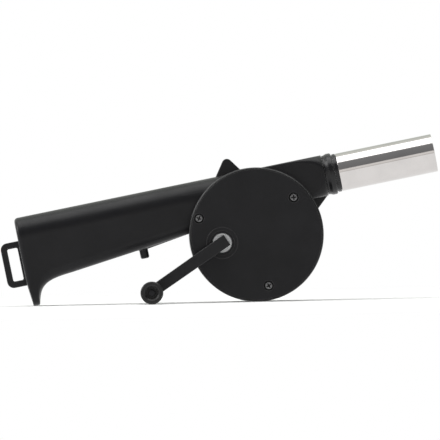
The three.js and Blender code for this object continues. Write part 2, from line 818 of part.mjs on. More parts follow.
function knob() {
  const base = knobBaseDiameter / 2;
  const recess = knobRecessDiameter / 2;
  const recessFloor = knobFront + knobRecessDepth;
  const bore = pinDiameter / 2 + runGap;
  const rim = [90, 45, 0].map((angle) => {
    const point = polar(knobRound, angle);
    return [knobDiameter / 2 - knobRound + point.x, knobFront + knobRound - point.z];
  });
  return turnY([
    [bore, recessFloor], [recess, recessFloor], [recess, knobFront], ...rim,
    [base, knobBack - knobBaseEdge], [base - knobBaseEdge, knobBack], [bore, knobBack],
    [bore, recessFloor],
  ], fanAxis, hubFacets);
}

function knobPin() {
  const seat = knobFront + knobRecessDepth - seatGap;
  const radius = pinDiameter / 2;
  const head = pinHeadDiameter / 2;
  const front = seat - pinHeadHeight;
  const end = armFront + pinGrip;
  return turnY([
    [0, front], [head - pinHeadEdge, front], [head, front + pinHeadEdge], [head, seat],
    [radius, seat], [radius, end], [0, end],
  ]);
}

// Idler group, about the idler's axis
function idlerGear() {
  const gapAngle = Math.PI + Math.PI / idlerPinionTeeth; // a gap of the pinion faces the crank gear
  const pinion = push(
    gearShape(idlerPinionTeeth, slowModule, crankToIdler + gapAngle), crankGearFront, idlerGearFront);
  const wheel = push(gearShape(idlerTeeth, fastModule, idlerToFan), idlerGearFront, idlerGearBack);
  return cut(join(pinion, wheel), rod(idlerAxleDiameter / 2 + runGap, -drumFront, drumBack));
}

function idlerAxle() {
  return rod(idlerAxleDiameter / 2, axleFront + seatGap, axleBack - seatGap, idlerAxis);
}

// Fan group, about the drum's axis
function fanShaft() {
  return rod(fanShaftDiameter / 2, coverBackFace + seatGap, chamberBack - seatGap);
}

function fanPinion() {
  const gapAngle = Math.PI + Math.PI / fanPinionTeeth; // a gap of the pinion faces the idler gear
  const teeth = push(
    gearShape(fanPinionTeeth, fastModule, idlerToFan + gapAngle), fanPinionFront, idlerGearBack);
  return cut(teeth, rod(fanShaftDiameter / 2 + seatGap, -drumFront, drumBack));
}

function impeller() {
  const radius = drumInner - fanClearance;
  const discBack = impellerFront + discThickness;
  const back = discBack + bladeWidth;
  const hub = impellerHubDiameter / 2;
  const hubBack = back - impellerHubShort;
  const body = turnY([
    [0, impellerFront], [radius, impellerFront], [radius, discBack], [hub + impellerHubFoot, discBack],
    [hub, discBack + impellerHubFoot], [hub, hubBack], [0, hubBack],
  ], fanAxis, tubeFacets);
  const blades = [];
  for (let blade = 0; blade < bladeCount; blade += 1) {
    const shape = bladeShape((blade * 360) / bladeCount, radius);
    blades.push(push(shape, impellerFront + discThickness / 2, back));
  }
  return cut(join(body, ...blades), rod(fanShaftDiameter / 2 + seatGap, -drumFront, drumBack));
}

// One blade, swept back against the way it turns, which is clockwise seen from the front
function bladeShape(start, radius) {
  const edge = (offset) => {
    const points = [];
    for (let i = 0; i <= bladeFacets; i += 1) {
      const share = i / bladeFacets;
      const r = bladeInner + (radius - bladeInner) * share;
      const spread = THREE.MathUtils.radToDeg(offset / r);
      const point = polar(r, start + bladeSweep * share ** bladeCurl + spread);
      points.push(new THREE.Vector2(point.x, point.z));
    }
    return points;
  };
  return new THREE.Shape([...edge(-bladeThickness / 2), ...edge(bladeThickness / 2).reverse()]);
}

function gearCover() {
  const face = -drumFront;
  const coverRadius = drumRadius - coverInset;
  const disc = turnY([
    [0, face], [coverRadius - coverChamfer, face], [coverRadius, face + coverChamfer],
    [coverRadius, coverBackFace], [0, coverBackFace],
  ], fanAxis, drumFacets);
  const rootDepth = face + coverThickness / 2;
  const ringFace = face - coverRingHeight;
  const ring = turnY([
    [coverRingInner, rootDepth], [coverRingInner, ringFace + coverRingBevel],
    [coverRingInner + coverRingBevel, ringFace], [coverRingOuter - coverRingBevel, ringFace],
    [coverRingOuter, ringFace + coverRingBevel], [coverRingOuter, rootDepth],
    [coverRingInner, rootDepth],
  ], crankAxis, hubFacets);
  const lipOuter = drumInner - seatGap;
  const lipInner = lipOuter - coverLip;
  const lip = turnY([
    [lipInner, rootDepth], [lipOuter, rootDepth], [lipOuter, coverBackFace + coverLip],
    [lipInner, coverBackFace + coverLip], [lipInner, rootDepth],
  ], fanAxis, drumFacets).intersect(block([0, -drumFront, -drumRadius], [drumRadius, 0, drumRadius]));
  const padRadius = screwRecessDiameter / 2 + screwPadWall;
  const room = rod(lipOuter, -drumFront, 0, fanAxis, drumFacets);
  const pads = coverScrewAxes.map((axis) => rod(
    padRadius, rootDepth, coverBackFace + screwPad, axis).intersect(room));
  const socketRadius = fanShaftDiameter / 2 + runGap;
  const shaftBoss = rod(socketRadius + bossWall, rootDepth, coverBackFace + shaftSocketLength);
  const before = ringFace - overshoot;
  const holes = [
    rod(hubDiameter / 2 + runGap, before, 0, crankAxis, hubFacets),
    ...coverScrewAxes.map((axis) => rod(
      screwRecessDiameter / 2, before, face + screwRecessDepth, axis)),
    ...coverScrewAxes.map((axis) => rod(pilotRadius, before, 0, axis)),
    rod(socketRadius, coverBackFace, 0, fanAxis),
    rod(idlerAxleDiameter / 2 + seatGap, axleFront, 0, idlerAxis),
  ];
  return cut(join(disc, ring, lip, ...pads, shaftBoss), ...holes);
}

// Collar and tube, about the nozzle's axis
function nozzleCollar() {
  const radius = collarDiameter / 2;
  const spigot = tubeDiameter / 2 - tubeWall - seatGap;
  const bore = spigot - collarWall;
  const neckBore = ductNeckDiameter / 2 - ductWall - seatGap;
  const start = ductReach + seatGap;
  const step = start + collarLength;
  const lip = step + collarNotch;
  const end = lip + collarLipLength;
  const lipRadius = tubeDiameter / 2 + collarLipProud;
  const edge = collarEdge;
  return turnX([
    [bore, start - collarTail], [neckBore, start - collarTail], [neckBore, start],
    [radius - edge, start], [radius, start + edge], [radius, step - edge], [radius - edge, step],
    [lipRadius - edge, step], [lipRadius - edge, lip], [lipRadius, lip], [lipRadius, end], [spigot, end],
    [spigot, end + collarSpigot], [bore, end + collarSpigot], [bore, start - collarTail],
  ]);
}

function nozzleTube() {
  const radius = tubeDiameter / 2;
  const start = ductReach + collarLength + collarNotch + collarLipLength + 2 * seatGap;
  const end = start + tubeLength;
  const inner = radius - tubeWall;
  return turnX([
    [inner, start], [radius, start], [radius, end - tubeEdge], [radius - tubeEdge, end],
    [inner, end], [inner, start],
  ]);
}

// Materials
const finish = (color, roughness, metalness) => (
  new THREE.MeshStandardMaterial({ color, roughness, metalness }));
const blackPlastic = finish(0x262729, 0.5, 0);
const coverPlastic = finish(0x27282a, 0.55, 0);
const crankPlastic = finish(0x222225, 0.45, 0);
const greyNylon = finish(0x9d9da0, 0.45, 0);
const paleNylon = finish(0xd8d4c8, 0.5, 0);
const screwSteel = finish(0x86868a, 0.4, 0.9);
const shaftSteel = finish(0xb4b6b8, 0.25, 1);
const bronze = finish(0xa98752, 0.4, 0.9);
const stainless = finish(0xd2cec9, 0.2, 1);

function piece(name, shape, material) {
  const mesh = new THREE.Mesh(geometryOf(shape), material);
  mesh.name = name;
  return mesh;
}

function turningGroup(axis, ...children) {
  const group = new THREE.Group();
  group.position.set(axis.x, 0, axis.z);
  group.add(...children);
  return group;
}

const knobGroup = turningGroup({ x: armLength, z: 0 },
  piece('crank_knob', knob(), crankPlastic),
  piece('knob_pin', knobPin(), screwSteel));

const crankGroup = turningGroup(crankAxis,
  piece('crank_gear', crankGear(), greyNylon),
  piece('crank_arm', crankArm(), crankPlastic),
  piece('crank_screw', crankScrew(), screwSteel),
  knobGroup);
crankGroup.rotation.y = -armDirection;

const idlerGroup = turningGroup(idlerAxis, piece('idler_gear', idlerGear(), paleNylon));

const fanGroup = turningGroup(fanAxis,
  piece('fan_shaft', fanShaft(), shaftSteel),
  piece('fan_pinion', fanPinion(), paleNylon),
  piece('impeller', impeller(), blackPlastic));

const body = new THREE.Group();
body.add(
  piece('front_shell', frontShell(), blackPlastic),
  piece('rear_shell', rearShell(), blackPlastic),
  piece('gear_cover', gearCover(), coverPlastic),
  piece('front_bush', frontBush(), bronze),
  piece('rear_bush', rearBush(), bronze),
  piece('idler_axle', idlerAxle(), shaftSteel),
  piece('nozzle_collar', nozzleCollar(), blackPlastic),
  piece('nozzle_tube', nozzleTube(), stainless),
  crankGroup, idlerGroup, fanGroup);
coverScrewAxes.forEach((axis, i) => {
  const shape = screw(coverScrewFace, 1, coverScrewLength, screwHeadDiameter, axis);
  body.add(piece(`cover_screw_${i + 1}`, shape, screwSteel));
});
bodyScrewAxes.forEach((axis, i) => {
  const face = bodyScrewSink + screwHeadHeight;
  const shape = screw(face, -1, bodyScrewLength, screwHeadDiameter, axis);
  body.add(piece(`body_screw_${i + 1}`, shape, screwSteel));
});

// Tilt that puts the round of the hook's tip and the drum on one floor
const tipX = tailReach - hookLean - hookTipRound;
const tipZ = hookDrop - hookTipRound - underside;
const tilt = Math.asin((drumRadius - hookTipRound) / Math.hypot(tipX, tipZ)) - Math.atan2(tipZ, tipX);
body.rotation.y = -tilt;

// Origin in the middle of the footprint, on the floor
const blower = new THREE.Group();
blower.add(body);
blower.updateMatrixWorld(true);
const bounds = new THREE.Box3().setFromObject(blower, true);
body.position.set(
  -(bounds.min.x + bounds.max.x) / 2, -(bounds.min.y + bounds.max.y) / 2, -bounds.min.z);

export default blower;
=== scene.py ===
"""Visible model of a hand-cranked air blower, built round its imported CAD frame. Metres, +Z up.

Shapes are drawn in the blower's own plane, where x runs from the fan's axis to the nozzle, z stands
square to the handle's top and y runs from the cover to the intake grille, and are then tilted with
the frame so that drum and hook stand on the floor.
"""
import json
import math

import bmesh
import bpy
from bpy.props import FloatProperty, FloatVectorProperty, PointerProperty
from mathutils import Matrix, Vector


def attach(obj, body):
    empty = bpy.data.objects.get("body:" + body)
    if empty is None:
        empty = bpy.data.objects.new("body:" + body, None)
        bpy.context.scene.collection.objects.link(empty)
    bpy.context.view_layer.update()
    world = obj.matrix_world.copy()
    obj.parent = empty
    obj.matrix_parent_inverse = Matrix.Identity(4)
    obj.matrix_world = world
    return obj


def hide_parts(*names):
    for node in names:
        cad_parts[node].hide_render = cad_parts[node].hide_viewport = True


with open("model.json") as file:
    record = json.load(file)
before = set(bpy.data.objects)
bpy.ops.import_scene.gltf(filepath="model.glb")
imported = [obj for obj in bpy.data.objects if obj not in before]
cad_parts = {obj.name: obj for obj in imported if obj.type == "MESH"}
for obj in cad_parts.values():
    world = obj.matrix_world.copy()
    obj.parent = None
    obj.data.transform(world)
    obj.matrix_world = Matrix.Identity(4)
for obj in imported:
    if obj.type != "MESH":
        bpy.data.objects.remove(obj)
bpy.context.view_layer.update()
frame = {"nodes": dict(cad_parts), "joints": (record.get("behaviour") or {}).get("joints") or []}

bl_info = {
    "name": "Hand Crank Blower",
    "version": (1, 0, 0),
    "blender": (4, 5, 0),
    "location": "View3D > Sidebar > Blower",
    "description": "Builds the visible model of a hand-cranked air blower round its CAD frame",
    "category": "Add Mesh",
}

MM = 0.001
TINY = 0.0001 * MM
SEAT_GAP = 0.3 * MM  # clearance between two pieces that fit together
SMOOTH_ANGLE = math.radians(35)  # faces that meet at less than this are shaded as one
DRUM_SEGMENTS = 144
HOLE_SEGMENTS = 24

# Where the frame holds the turning axes, and how far the blower is tilted
AXES = {joint["name"]: Vector(joint["pos_m"]) for joint in frame["joints"]}
FAN = AXES["fan_spin"]
CRANK_ANGLE = 182.0
FAN_TO_CRANK = AXES["crank_turn"] - FAN
TILT = math.atan2(FAN_TO_CRANK.z, FAN_TO_CRANK.x) % math.tau - math.radians(CRANK_ANGLE)
TO_PART = Matrix.Translation(FAN) @ Matrix.Rotation(-TILT, 4, "Y")


def in_plane(point):
    """A point of the part as (x, z) in the blower's own plane."""
    local = TO_PART.inverted() @ point
    return local.x, local.z


CRANK = in_plane(AXES["crank_turn"])
KNOB = in_plane(AXES["knob_spin"])


def size(label, description, millimetres):
    """A length that a user may change."""
    return FloatProperty(name=label, description=description, default=millimetres * MM,
                         min=0.0, precision=5, unit="LENGTH")


def shade(label, description, colour):
    """A colour that a user may change."""
    return FloatVectorProperty(name=label, description=description, default=colour,
                               min=0.0, max=1.0, size=3, subtype="COLOR")


def angle(label, description, degrees):
    """An angle that a user may change."""
    return FloatProperty(name=label, description=description, default=math.radians(degrees),
                         subtype="ANGLE")


class BlowerHousing(bpy.types.PropertyGroup):
    """Sizes of the moulded housing."""

    wall: size("Wall", "Thickness of the housing's walls", 2.2)
    seam: size("Seam", "Width of the line between the two halves", 0.3)
    drum_radius: size("Drum radius", "Outer radius of the fan drum", 42.2)
    drum_front: size("Drum front", "From the seam to the cover's face", 22)
    drum_back: size("Drum back", "From the seam to the drum's back face", 18)
    back_round: size("Back rounding", "Rounding of the drum's back edge", 2.5)
    body_depth: size("Body depth", "Thickness of handle and duct", 28)
    body_top: size("Body top", "Height of the handle's top line over the fan's axis", 40.6)
    tail_reach: size("Tail reach", "From the fan's axis to the handle's end face", 147.7)
    tail_height: size("Tail height", "Height of the handle at its tail", 40.6)
    neck_height: size("Neck height", "Height of the handle where it meets the drum", 32)
    top_round: size("Top rounding", "Rounding of the handle's upper edges", 13.4)
    under_round: size("Underside rounding", "Rounding of the handle's lower edges", 6.5)
    tail_round: size("Tail rounding", "Rounding of the end face's edges", 2.5)
    duct_height: size("Duct height", "Height of the air duct", 25.8)
    duct_reach: size("Duct reach", "From the fan's axis to the duct's neck", 49.8)


class BlowerCover(bpy.types.PropertyGroup):
    """Sizes of the gear cover and its screws."""

    thickness: size("Thickness", "Thickness of the cover", 2.2)
    inset: size("Inset", "How far the cover's rim lies inside the drum's", 1.1)
    gap: size("Gap", "Gap between the cover's rim and the drum's lip", 0.4)
    chamfer: size("Chamfer", "Chamfer of the rim", 0.15)
    ring_inner: size("Ring inside", "Inner radius of the raised ring round the hub", 7.7)
    ring_outer: size("Ring outside", "Outer radius of the raised ring", 9.9)
    ring_height: size("Ring height", "How far the ring stands out", 0.5)
    recess: size("Recess", "Diameter of the screws' recesses", 6.4)
    recess_depth: size("Recess depth", "Depth of the screws' recesses", 1.6)


class BlowerCrank(bpy.types.PropertyGroup):
    """Sizes of the crank and its knob."""

    hub_diameter: size("Hub diameter", "Diameter of the grey hub", 12)
    hub_proud: size("Hub height", "How far the hub stands in front of the cover", 1.5)
    arm_thickness: size("Arm thickness", "Thickness of the crank arm", 5)
    arm_width_hub: size("Arm width at the hub", "Width of the arm at the hub", 7.7)
    arm_width_knob: size("Arm width at the knob", "Width of the arm at the knob", 7.3)
    arm_edge: size("Arm edge", "Rounding of the arm's edges", 0.6)
    arm_end: size("Arm end", "How far the arm reaches beyond the crank's axis", 3.5)
    knob_diameter: size("Knob diameter", "Diameter of the knob's rim", 14.3)
    knob_base: size("Knob base", "Diameter of the knob beside the arm", 12.6)
    knob_length: size("Knob length", "Length of the knob", 25)
    knob_recess: size("Knob recess", "Diameter of the round recess in the knob", 8.9)
    recess_depth: size("Recess depth", "Depth of the round recess", 3.5)


class BlowerNozzle(bpy.types.PropertyGroup):
    """Sizes of the collar and the nozzle tube."""

    tube_diameter: size("Tube diameter", "Outer diameter of the tube", 24)
    tube_wall: size("Tube wall", "Wall of the tube", 0.7)
    tube_length: size("Tube length", "Length of the tube", 61.4)
    collar_diameter: size("Collar diameter", "Diameter of the collar's thick ring", 26.3)
    collar_length: size("Collar length", "Length of the collar's thick ring", 6)


class BlowerFinish(bpy.types.PropertyGroup):
    """Colours and textures."""

    plastic: shade("Housing plastic", "Colour of handle and drum", (0.0055, 0.0055, 0.0066))
    cover: shade("Cover plastic", "Colour of the gear cover", (0.006, 0.006, 0.0072))
    crank: shade("Crank plastic", "Colour of the crank arm", (0.0075, 0.0075, 0.0086))
    knob: shade("Knob plastic", "Colour of the knob", (0.003, 0.003, 0.0035))
    hub: shade("Hub nylon", "Colour of the crank gear and its hub", (0.52, 0.525, 0.53))
    gears: shade("Gear nylon", "Colour of the small gears", (0.68, 0.66, 0.58))
    screws: shade("Screw steel", "Colour of the screws", (0.18, 0.18, 0.183))
    pin: shade("Pin steel", "Colour of the knob's pin", (0.03, 0.03, 0.032))
    shaft: shade("Shaft steel", "Colour of shaft and axle", (0.5, 0.5, 0.52))
    tube: shade("Tube steel", "Colour of the nozzle tube", (0.69, 0.665, 0.65))
    bronze: shade("Bush bronze", "Colour of the bushes", (0.42, 0.27, 0.09))
    # Paler edge colour: real scuffing, and partly a painted highlight along the edges
    worn_and_highlight: shade("Edge scuffs and painted highlight", "Colour of scuffed edges, paler also as a painted highlight", (0.15, 0.15, 0.152))
    grain: size("Grain", "Size of the moulded texture's grains", 0.35)


class BlowerStudio(bpy.types.PropertyGroup):
    """Camera, floor and light."""

    distance: size("Camera distance", "From the camera to the cover's face", 6000)
    turn: angle("Camera turn", "How far left of square the camera stands", 0.8)
    height: angle("Camera height", "How far over the horizon the camera stands", 0.3)
    roll: angle("Camera roll", "Roll of the camera", 1.17)
    frame_width: size("Frame width", "Width of the picture at the cover's face", 276.4)
    aim_height: size("Aim height", "Height over the floor of the picture's middle", 51.8)
    softbox: FloatProperty(name="Softbox", description="Power of the overhead softbox",
                           default=5.8, min=0.0, unit="POWER")
    softbox_width: size("Softbox width", "Length of the softbox along the blower", 1350)
    softbox_depth: size("Softbox depth", "Length of the softbox from front to back", 730)
    softbox_height: size("Softbox height", "Height of the softbox over the floor", 950)
    floor_radius: size("Floor radius", "Radius of the pale floor", 6000)


def polar(radius, degrees, centre=(0.0, 0.0)):
    """The point at a distance and an angle from a centre."""
    turned = math.radians(degrees)
    return centre[0] + radius * math.cos(turned), centre[1] + radius * math.sin(turned)


def arc(radius, start, turn, steps, centre=(0.0, 0.0)):
    """Points along an arc that starts at an angle and turns by another, in degrees."""
    return [polar(radius, start + turn * i / steps, centre) for i in range(steps + 1)]


def rounded(corners, steps):
    """An outline of (a, b, radius) corners with each corner rounded to its radius."""
    outline = []
    count = len(corners)
    for i, (a, b, radius) in enumerate(corners):
        here = Vector((a, b))
        if radius <= 0:
            outline.append(here)
            continue
        before = Vector(corners[i - 1][:2]) - here
        after = Vector(corners[(i + 1) % count][:2]) - here
        half = before.angle(after) / 2
        reach = radius / math.tan(half)
        middle = (before.normalized() + after.normalized()).normalized()
        centre = here + middle * radius / math.sin(half)
        start = here + before.normalized() * reach - centre
        turn = (here + after.normalized() * reach - centre).angle_signed(start)
        for step in range(steps + 1):
            outline.append(centre + Matrix.Rotation(turn * step / steps, 2) @ start)
    return [tuple(point) for point in outline]


def lathe(profile, segments, centre=(0.0, 0.0), axis="Y"):
    """A closed solid turned from a closed profile of (radius, place along the axis)."""
    shape = bmesh.new()
    rings = []
    for radius, along in profile:
        count = segments if radius > TINY else 1
        ring = []
        for i in range(count):
            a, b = polar(radius, 360 * i / segments, centre)
            ring.append(shape.verts.new((a, along, b) if axis == "Y" else (along, a, b)))
        rings.append(ring)
    for first, second in zip(rings, rings[1:] + rings[:1]):
        if len(first) == 1 and len(second) == 1:
            continue
        for i in range(segments):
            j = (i + 1) % segments
            corners = [first[i % len(first)], first[j % len(first)],
                       second[j % len(second)], second[i % len(second)]]
            shape.faces.new(list(dict.fromkeys(corners)))
    bmesh.ops.recalc_face_normals(shape, faces=shape.faces)
    return shape


def rod(radius, front, back, centre=(0.0, 0.0), segments=48):
    """A plain cylinder along y."""
    return lathe([(0, front), (radius, front), (radius, back), (0, back)], segments, centre)


def rods(radius, front, back, centres, segments=HOLE_SEGMENTS):
    """Plain cylinders of one size round several axes."""
    return [rod(radius, front, back, centre, segments) for centre in centres]


def skin(sections):
    """A closed solid through rings of points, one after the other."""
    shape = bmesh.new()
    rings = [[shape.verts.new(point) for point in section] for section in sections]
    count = len(rings[0])
    for first, second in zip(rings, rings[1:]):
        for i in range(count):
            j = (i + 1) % count
            shape.faces.new((first[i], first[j], second[j], second[i]))
    shape.faces.new(rings[0][::-1])
    shape.faces.new(rings[-1])
    bmesh.ops.recalc_face_normals(shape, faces=shape.faces)
    return shape


def loft(stations):
    """A closed solid through sections along x; each is (x, [(y, z), ...])."""
    return skin([[(x, y, z) for y, z in section] for x, section in stations])


def stack(levels):
    """A closed solid through outlines along y; each is (y, [(x, z), ...])."""
    return skin([[(x, y, z) for x, z in outline] for y, outline in levels])


def slab(outline, front, back, edge=0.0, steps=2):
    """An outline in x and z pushed from one y to another, its rims rounded by edge."""
    shape = stack([(front, outline), (back, outline)])
    if edge > 0:
        rims = [e for e in shape.edges if abs(e.verts[0].co.y - e.verts[1].co.y) < TINY]
        bmesh.ops.bevel(shape, geom=rims, offset=edge, segments=steps, profile=0.5, affect="EDGES")
    return shape


def sink(radius, floor, face, axis, flare, segments=48):
    """A round hole from a floor out through a face, flared where it meets the face."""
    side = math.copysign(1, face - floor)
    return lathe([(0, floor), (radius, floor), (radius, face - side * flare),
                  (radius + flare, face), (radius + flare, face + side * MM), (0, face + side * MM)],
                 segments, axis)


def block(low, high):
    """A box between two corners."""
    shape = bmesh.new()
    bmesh.ops.create_cube(shape, size=1.0)
    for vertex in shape.verts:
        for k in range(3):
            vertex.co[k] = high[k] if vertex.co[k] > 0 else low[k]
    return shape


def as_object(shape, name):
    """A scene object from a bmesh, which is freed."""
    bmesh.ops.triangulate(shape, faces=shape.faces)
    mesh = bpy.data.meshes.new(name)
    shape.to_mesh(mesh)
    shape.free()
    thing = bpy.data.objects.new(name, mesh)
    bpy.context.scene.collection.objects.link(thing)
    return thing


def turned_piece(name, corners, steps, segments, centre=(0.0, 0.0), axis="Y"):
    """An object turned from a profile of (radius, place along the axis, rounding) corners."""
    return as_object(lathe(rounded(corners, steps), segments, centre, axis), name)


def apply_modifiers(thing):
    """Turns an object's modifiers into mesh."""
    graph = bpy.context.evaluated_depsgraph_get()
    mesh = bpy.data.meshes.new_from_object(thing.evaluated_get(graph))
    old = thing.data
    thing.modifiers.clear()
    thing.data = mesh
    bpy.data.meshes.remove(old)


def combine(base, shapes, operation):
    """The base object joined with, cut by or kept within each shape in turn."""
    tools = [as_object(shape, "tool") for shape in shapes]
    for tool in tools:
        modifier = base.modifiers.new("Combine", "BOOLEAN")
        modifier.operation = operation
        modifier.solver = "MANIFOLD"
        modifier.object = tool
        base.modifiers.new("Triangles", "TRIANGULATE")
    apply_modifiers(base)
    for tool in tools:
        mesh = tool.data
        bpy.data.objects.remove(tool)
        bpy.data.meshes.remove(mesh)
    if not base.data.polygons:
        raise RuntimeError(f"{base.name} came out empty")
    return base


def as_shape(thing):
    """The bmesh of an object, which is removed."""
    result = bmesh.new()
    result.from_mesh(thing.data)
    mesh = thing.data
    bpy.data.objects.remove(thing)
    bpy.data.meshes.remove(mesh)
    return result


def trimmed(shape, tool, operation="INTERSECT"):
    """A shape after one cut, still as a shape."""
    return as_shape(combine(as_object(shape, "trimmed"), [tool], operation))


def keep_side(thing, y, side):
    """Keeps what lies on one side of a plane square to y; strips keep the cut's faces small."""
    reach = max(abs(value) for corner in thing.bound_box for value in corner) + MM
    ends = sorted((y, side * reach))
    half_space = block((-reach, ends[0], -reach), (reach, ends[1], reach))
    strips = 33
    for i in range(1, strips):
        for turn in ((1, 0, 0), (0, 0, 1)):
            bmesh.ops.bisect_plane(
                half_space, geom=half_space.verts[:] + half_space.edges[:] + half_space.faces[:],
                plane_co=[part * reach * (2 * i / strips - 1) for part in turn], plane_no=turn)
    combine(thing, [half_space], "INTERSECT")


def dress(thing, material, body, nodes):
    """Places a finished piece, with its material, its body and the nodes it stands for."""
    thing.data.transform(TO_PART)
    thing.data.materials.clear()
    thing.data.materials.append(material)
    thing.data.shade_smooth()
    thing.data.set_sharp_from_angle(angle=SMOOTH_ANGLE)
    normals = thing.modifiers.new("Flat faces", "WEIGHTED_NORMAL")
    normals.keep_sharp = True
    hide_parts(*nodes)
    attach(thing, body)


def settings():
    """The blower's settings in this scene."""
    return bpy.context.scene.blower


# Housing


def rounded_section(half, bottom, top, bottom_round, top_round, steps):
    """A rectangle in y and z with rounded corners."""
    ring = []
    for y, z, radius, start in (
            (half - top_round, top - top_round, top_round, 0),
            (top_round - half, top - top_round, top_round, 90),
            (bottom_round - half, bottom + bottom_round, bottom_round, 180),
            (half - bottom_round, bottom + bottom_round, bottom_round, 270)):
        ring += arc(radius, start, 90, steps, (y, z))
    return ring


NECK_REACH = 43.5 * MM
HANDLE_SPACE_END = 0.98  # as a share of the drum's radius
HOOK_LENGTH = 28.6 * MM
HOOK_DROP = 15.96 * MM
HOOK_TIP = 4.5 * MM
HOOK_LEAN = 1.3 * MM
HOOK_TIP_ROUND = 1 * MM
HOOK_PALM = ((0.1, 0.33), (0.22, 0.08))  # how the inner curve bends, as shares of run and drop
LOOP_DROP = 2.4 * MM


def underside(sizes, x):
    """Height of the handle's straight underside at x."""
    low = sizes.body_top - sizes.tail_height
    start = HOOK_LENGTH - sizes.tail_reach
    slope = (sizes.tail_height - sizes.neck_height) / (-NECK_REACH - start)
    return low + slope * (x - start)


def bezier(points, steps):
    """Points along a cubic curve."""
    a, b, c, d = (Vector(point) for point in points)
    curve = []
    for i in range(steps + 1):
        t = i / steps
        s = 1 - t
        curve.append(a * s ** 3 + b * 3 * s * s * t + c * 3 * s * t * t + d * t ** 3)
    return curve


def hook_outline(sizes):
    """Underside of the tail and the hook as (x, z), from the end face forwards."""
    low = sizes.body_top - sizes.tail_height
    arc_height = low - HOOK_DROP + HOOK_TIP_ROUND
    back = HOOK_LEAN - sizes.tail_reach
    front = back + HOOK_TIP
    foot = Vector((-sizes.tail_reach, low - LOOP_DROP))
    heel = Vector((back, arc_height))
    outline = [foot.lerp(heel, i / 6) for i in range(7)]
    tip = arc(HOOK_TIP_ROUND, 180, 90, 4, (back + HOOK_TIP_ROUND, arc_height))[1:]
    tip += arc(HOOK_TIP_ROUND, 270, 90, 4, (front - HOOK_TIP_ROUND, arc_height))
    outline += [Vector(point) for point in tip]
    drop = low - arc_height
    run = HOOK_LENGTH - sizes.tail_reach - front
    bends = [(front + run * along, low - drop * down) for along, down in HOOK_PALM]
    palm = bezier([(front, arc_height), *bends, (front + run, low)], 28)
    return outline + palm[1:]


def tail_inset(sizes, x):
    """How far a section near the end face draws in."""
    left = sizes.tail_round - (x + sizes.tail_reach)
    if left <= 0:
        return 0.0
    return sizes.tail_round - math.sqrt(sizes.tail_round ** 2 - left ** 2)


def handle(sizes):
    """Outside of the handle with its hook."""
    half = sizes.body_depth / 2
    stations = []
    for point in hook_outline(sizes):
        inset = tail_inset(sizes, point.x)
        stations.append((point.x, rounded_section(
            half - inset, point.y, sizes.body_top - inset, sizes.under_round,
            sizes.top_round - inset, 14)))
    for x in (-NECK_REACH, 0):
        stations.append((x, rounded_section(
            half, underside(sizes, x), sizes.body_top, sizes.under_round, sizes.top_round, 14)))
    return loft(stations)


def handle_space(sizes):
    """Room inside the handle, up to the drum."""
    wall = sizes.wall
    half = sizes.body_depth / 2 - wall
    stations = []
    for x in (wall - sizes.tail_reach, -sizes.drum_radius * HANDLE_SPACE_END):
        stations.append((x, rounded_section(
            half, underside(sizes, x) + wall, sizes.body_top - wall,
            sizes.under_round - wall, sizes.top_round - wall, 4)))
    return loft(stations)


DUCT_CORNER = 1.2 * MM
DUCT_NECK_FLAT = 0.8 * MM
DUCT_TURN = 23 * MM
DUCT_WALL = 1.9 * MM


def duct(sizes, inset=0.0):
    """The duct: a square box whose corners grow round towards the neck."""
    neck = sizes.duct_height / 2
    half_depth = sizes.body_depth / 2
    bottom = sizes.body_top - sizes.duct_height
    places = [(0.0, 0.0)]
    steps = 20
    for i in range(steps + 1):
        turned = math.pi / 2 * i / steps
        places.append((sizes.duct_reach - DUCT_TURN * (1 - math.sin(turned)),
                       1 - math.cos(turned)))
    if inset:
        places.append((sizes.duct_reach + MM, 1.0))
    stations = []
    for x, turned in places:
        corner = DUCT_CORNER + (neck - DUCT_NECK_FLAT - DUCT_CORNER) * turned
        half = half_depth + (neck - half_depth) * turned
        radius = max(corner - inset, DUCT_CORNER)
        stations.append((x, rounded_section(
            half - inset, bottom + inset, sizes.body_top - inset, radius, radius, 12)))
    return loft(stations)


LIP_SET_BACK = 0.15 * MM
LIP_LAND = 0.08 * MM  # width of the flat on the lip
LIP_EDGE = 0.05 * MM
LIP_RIM = 0.12 * MM


def drum(sizes, cover):
    """Outside of the drum, with the thin lip that stands round the cover."""
    radius = sizes.drum_radius
    seat = -sizes.drum_front + cover.thickness + SEAT_GAP
    lip = -sizes.drum_front + LIP_SET_BACK
    lip_inside = radius - cover.inset + cover.gap
    slope = radius - lip_inside - LIP_LAND
    back = sizes.drum_back
    profile = rounded([(0, seat, 0), (lip_inside, seat, 0), (lip_inside, lip, LIP_EDGE),
                       (radius - slope, lip, LIP_EDGE), (radius, lip + slope, LIP_RIM),
                       (radius, back, sizes.back_round), (0, back, 0)], 6)
    return lathe(profile, DRUM_SEGMENTS)


FIN_BASE = 17.1 * MM
FIN_HEIGHT = 9.8 * MM
FIN_TIP = 3.2 * MM
FIN_REACH = -9.05 * MM
FIN_FOOT = 3.8 * MM  # how far the fin reaches down into the housing
FIN_HALF_DEPTH = 3 * MM
FIN_EDGE = 0.9 * MM
FIN_TAPER = 0.35


def fin(sizes):
    """The fin on top: two straight edges that touch a round tip."""
    half = FIN_BASE / 2
    rise = FIN_HEIGHT - FIN_TIP
    slope = math.atan2(rise, half) + math.asin(FIN_TIP / math.hypot(half, rise))
    spread = FIN_FOOT / math.tan(slope)
    top = sizes.body_top
    outline = [(FIN_REACH - half - spread, top - FIN_FOOT),
               (FIN_REACH + half + spread, top - FIN_FOOT)]
    start = 90 - math.degrees(slope)
    outline += arc(FIN_TIP, start, 180 - 2 * start, 12, (FIN_REACH, top + rise))
    shape = slab(outline, -FIN_HALF_DEPTH, FIN_HALF_DEPTH, FIN_EDGE, 4)
    for vertex in shape.verts:
        share = max(vertex.co.z - top, 0) / FIN_HEIGHT
        vertex.co.y *= 1 - FIN_TAPER * share
    return shape


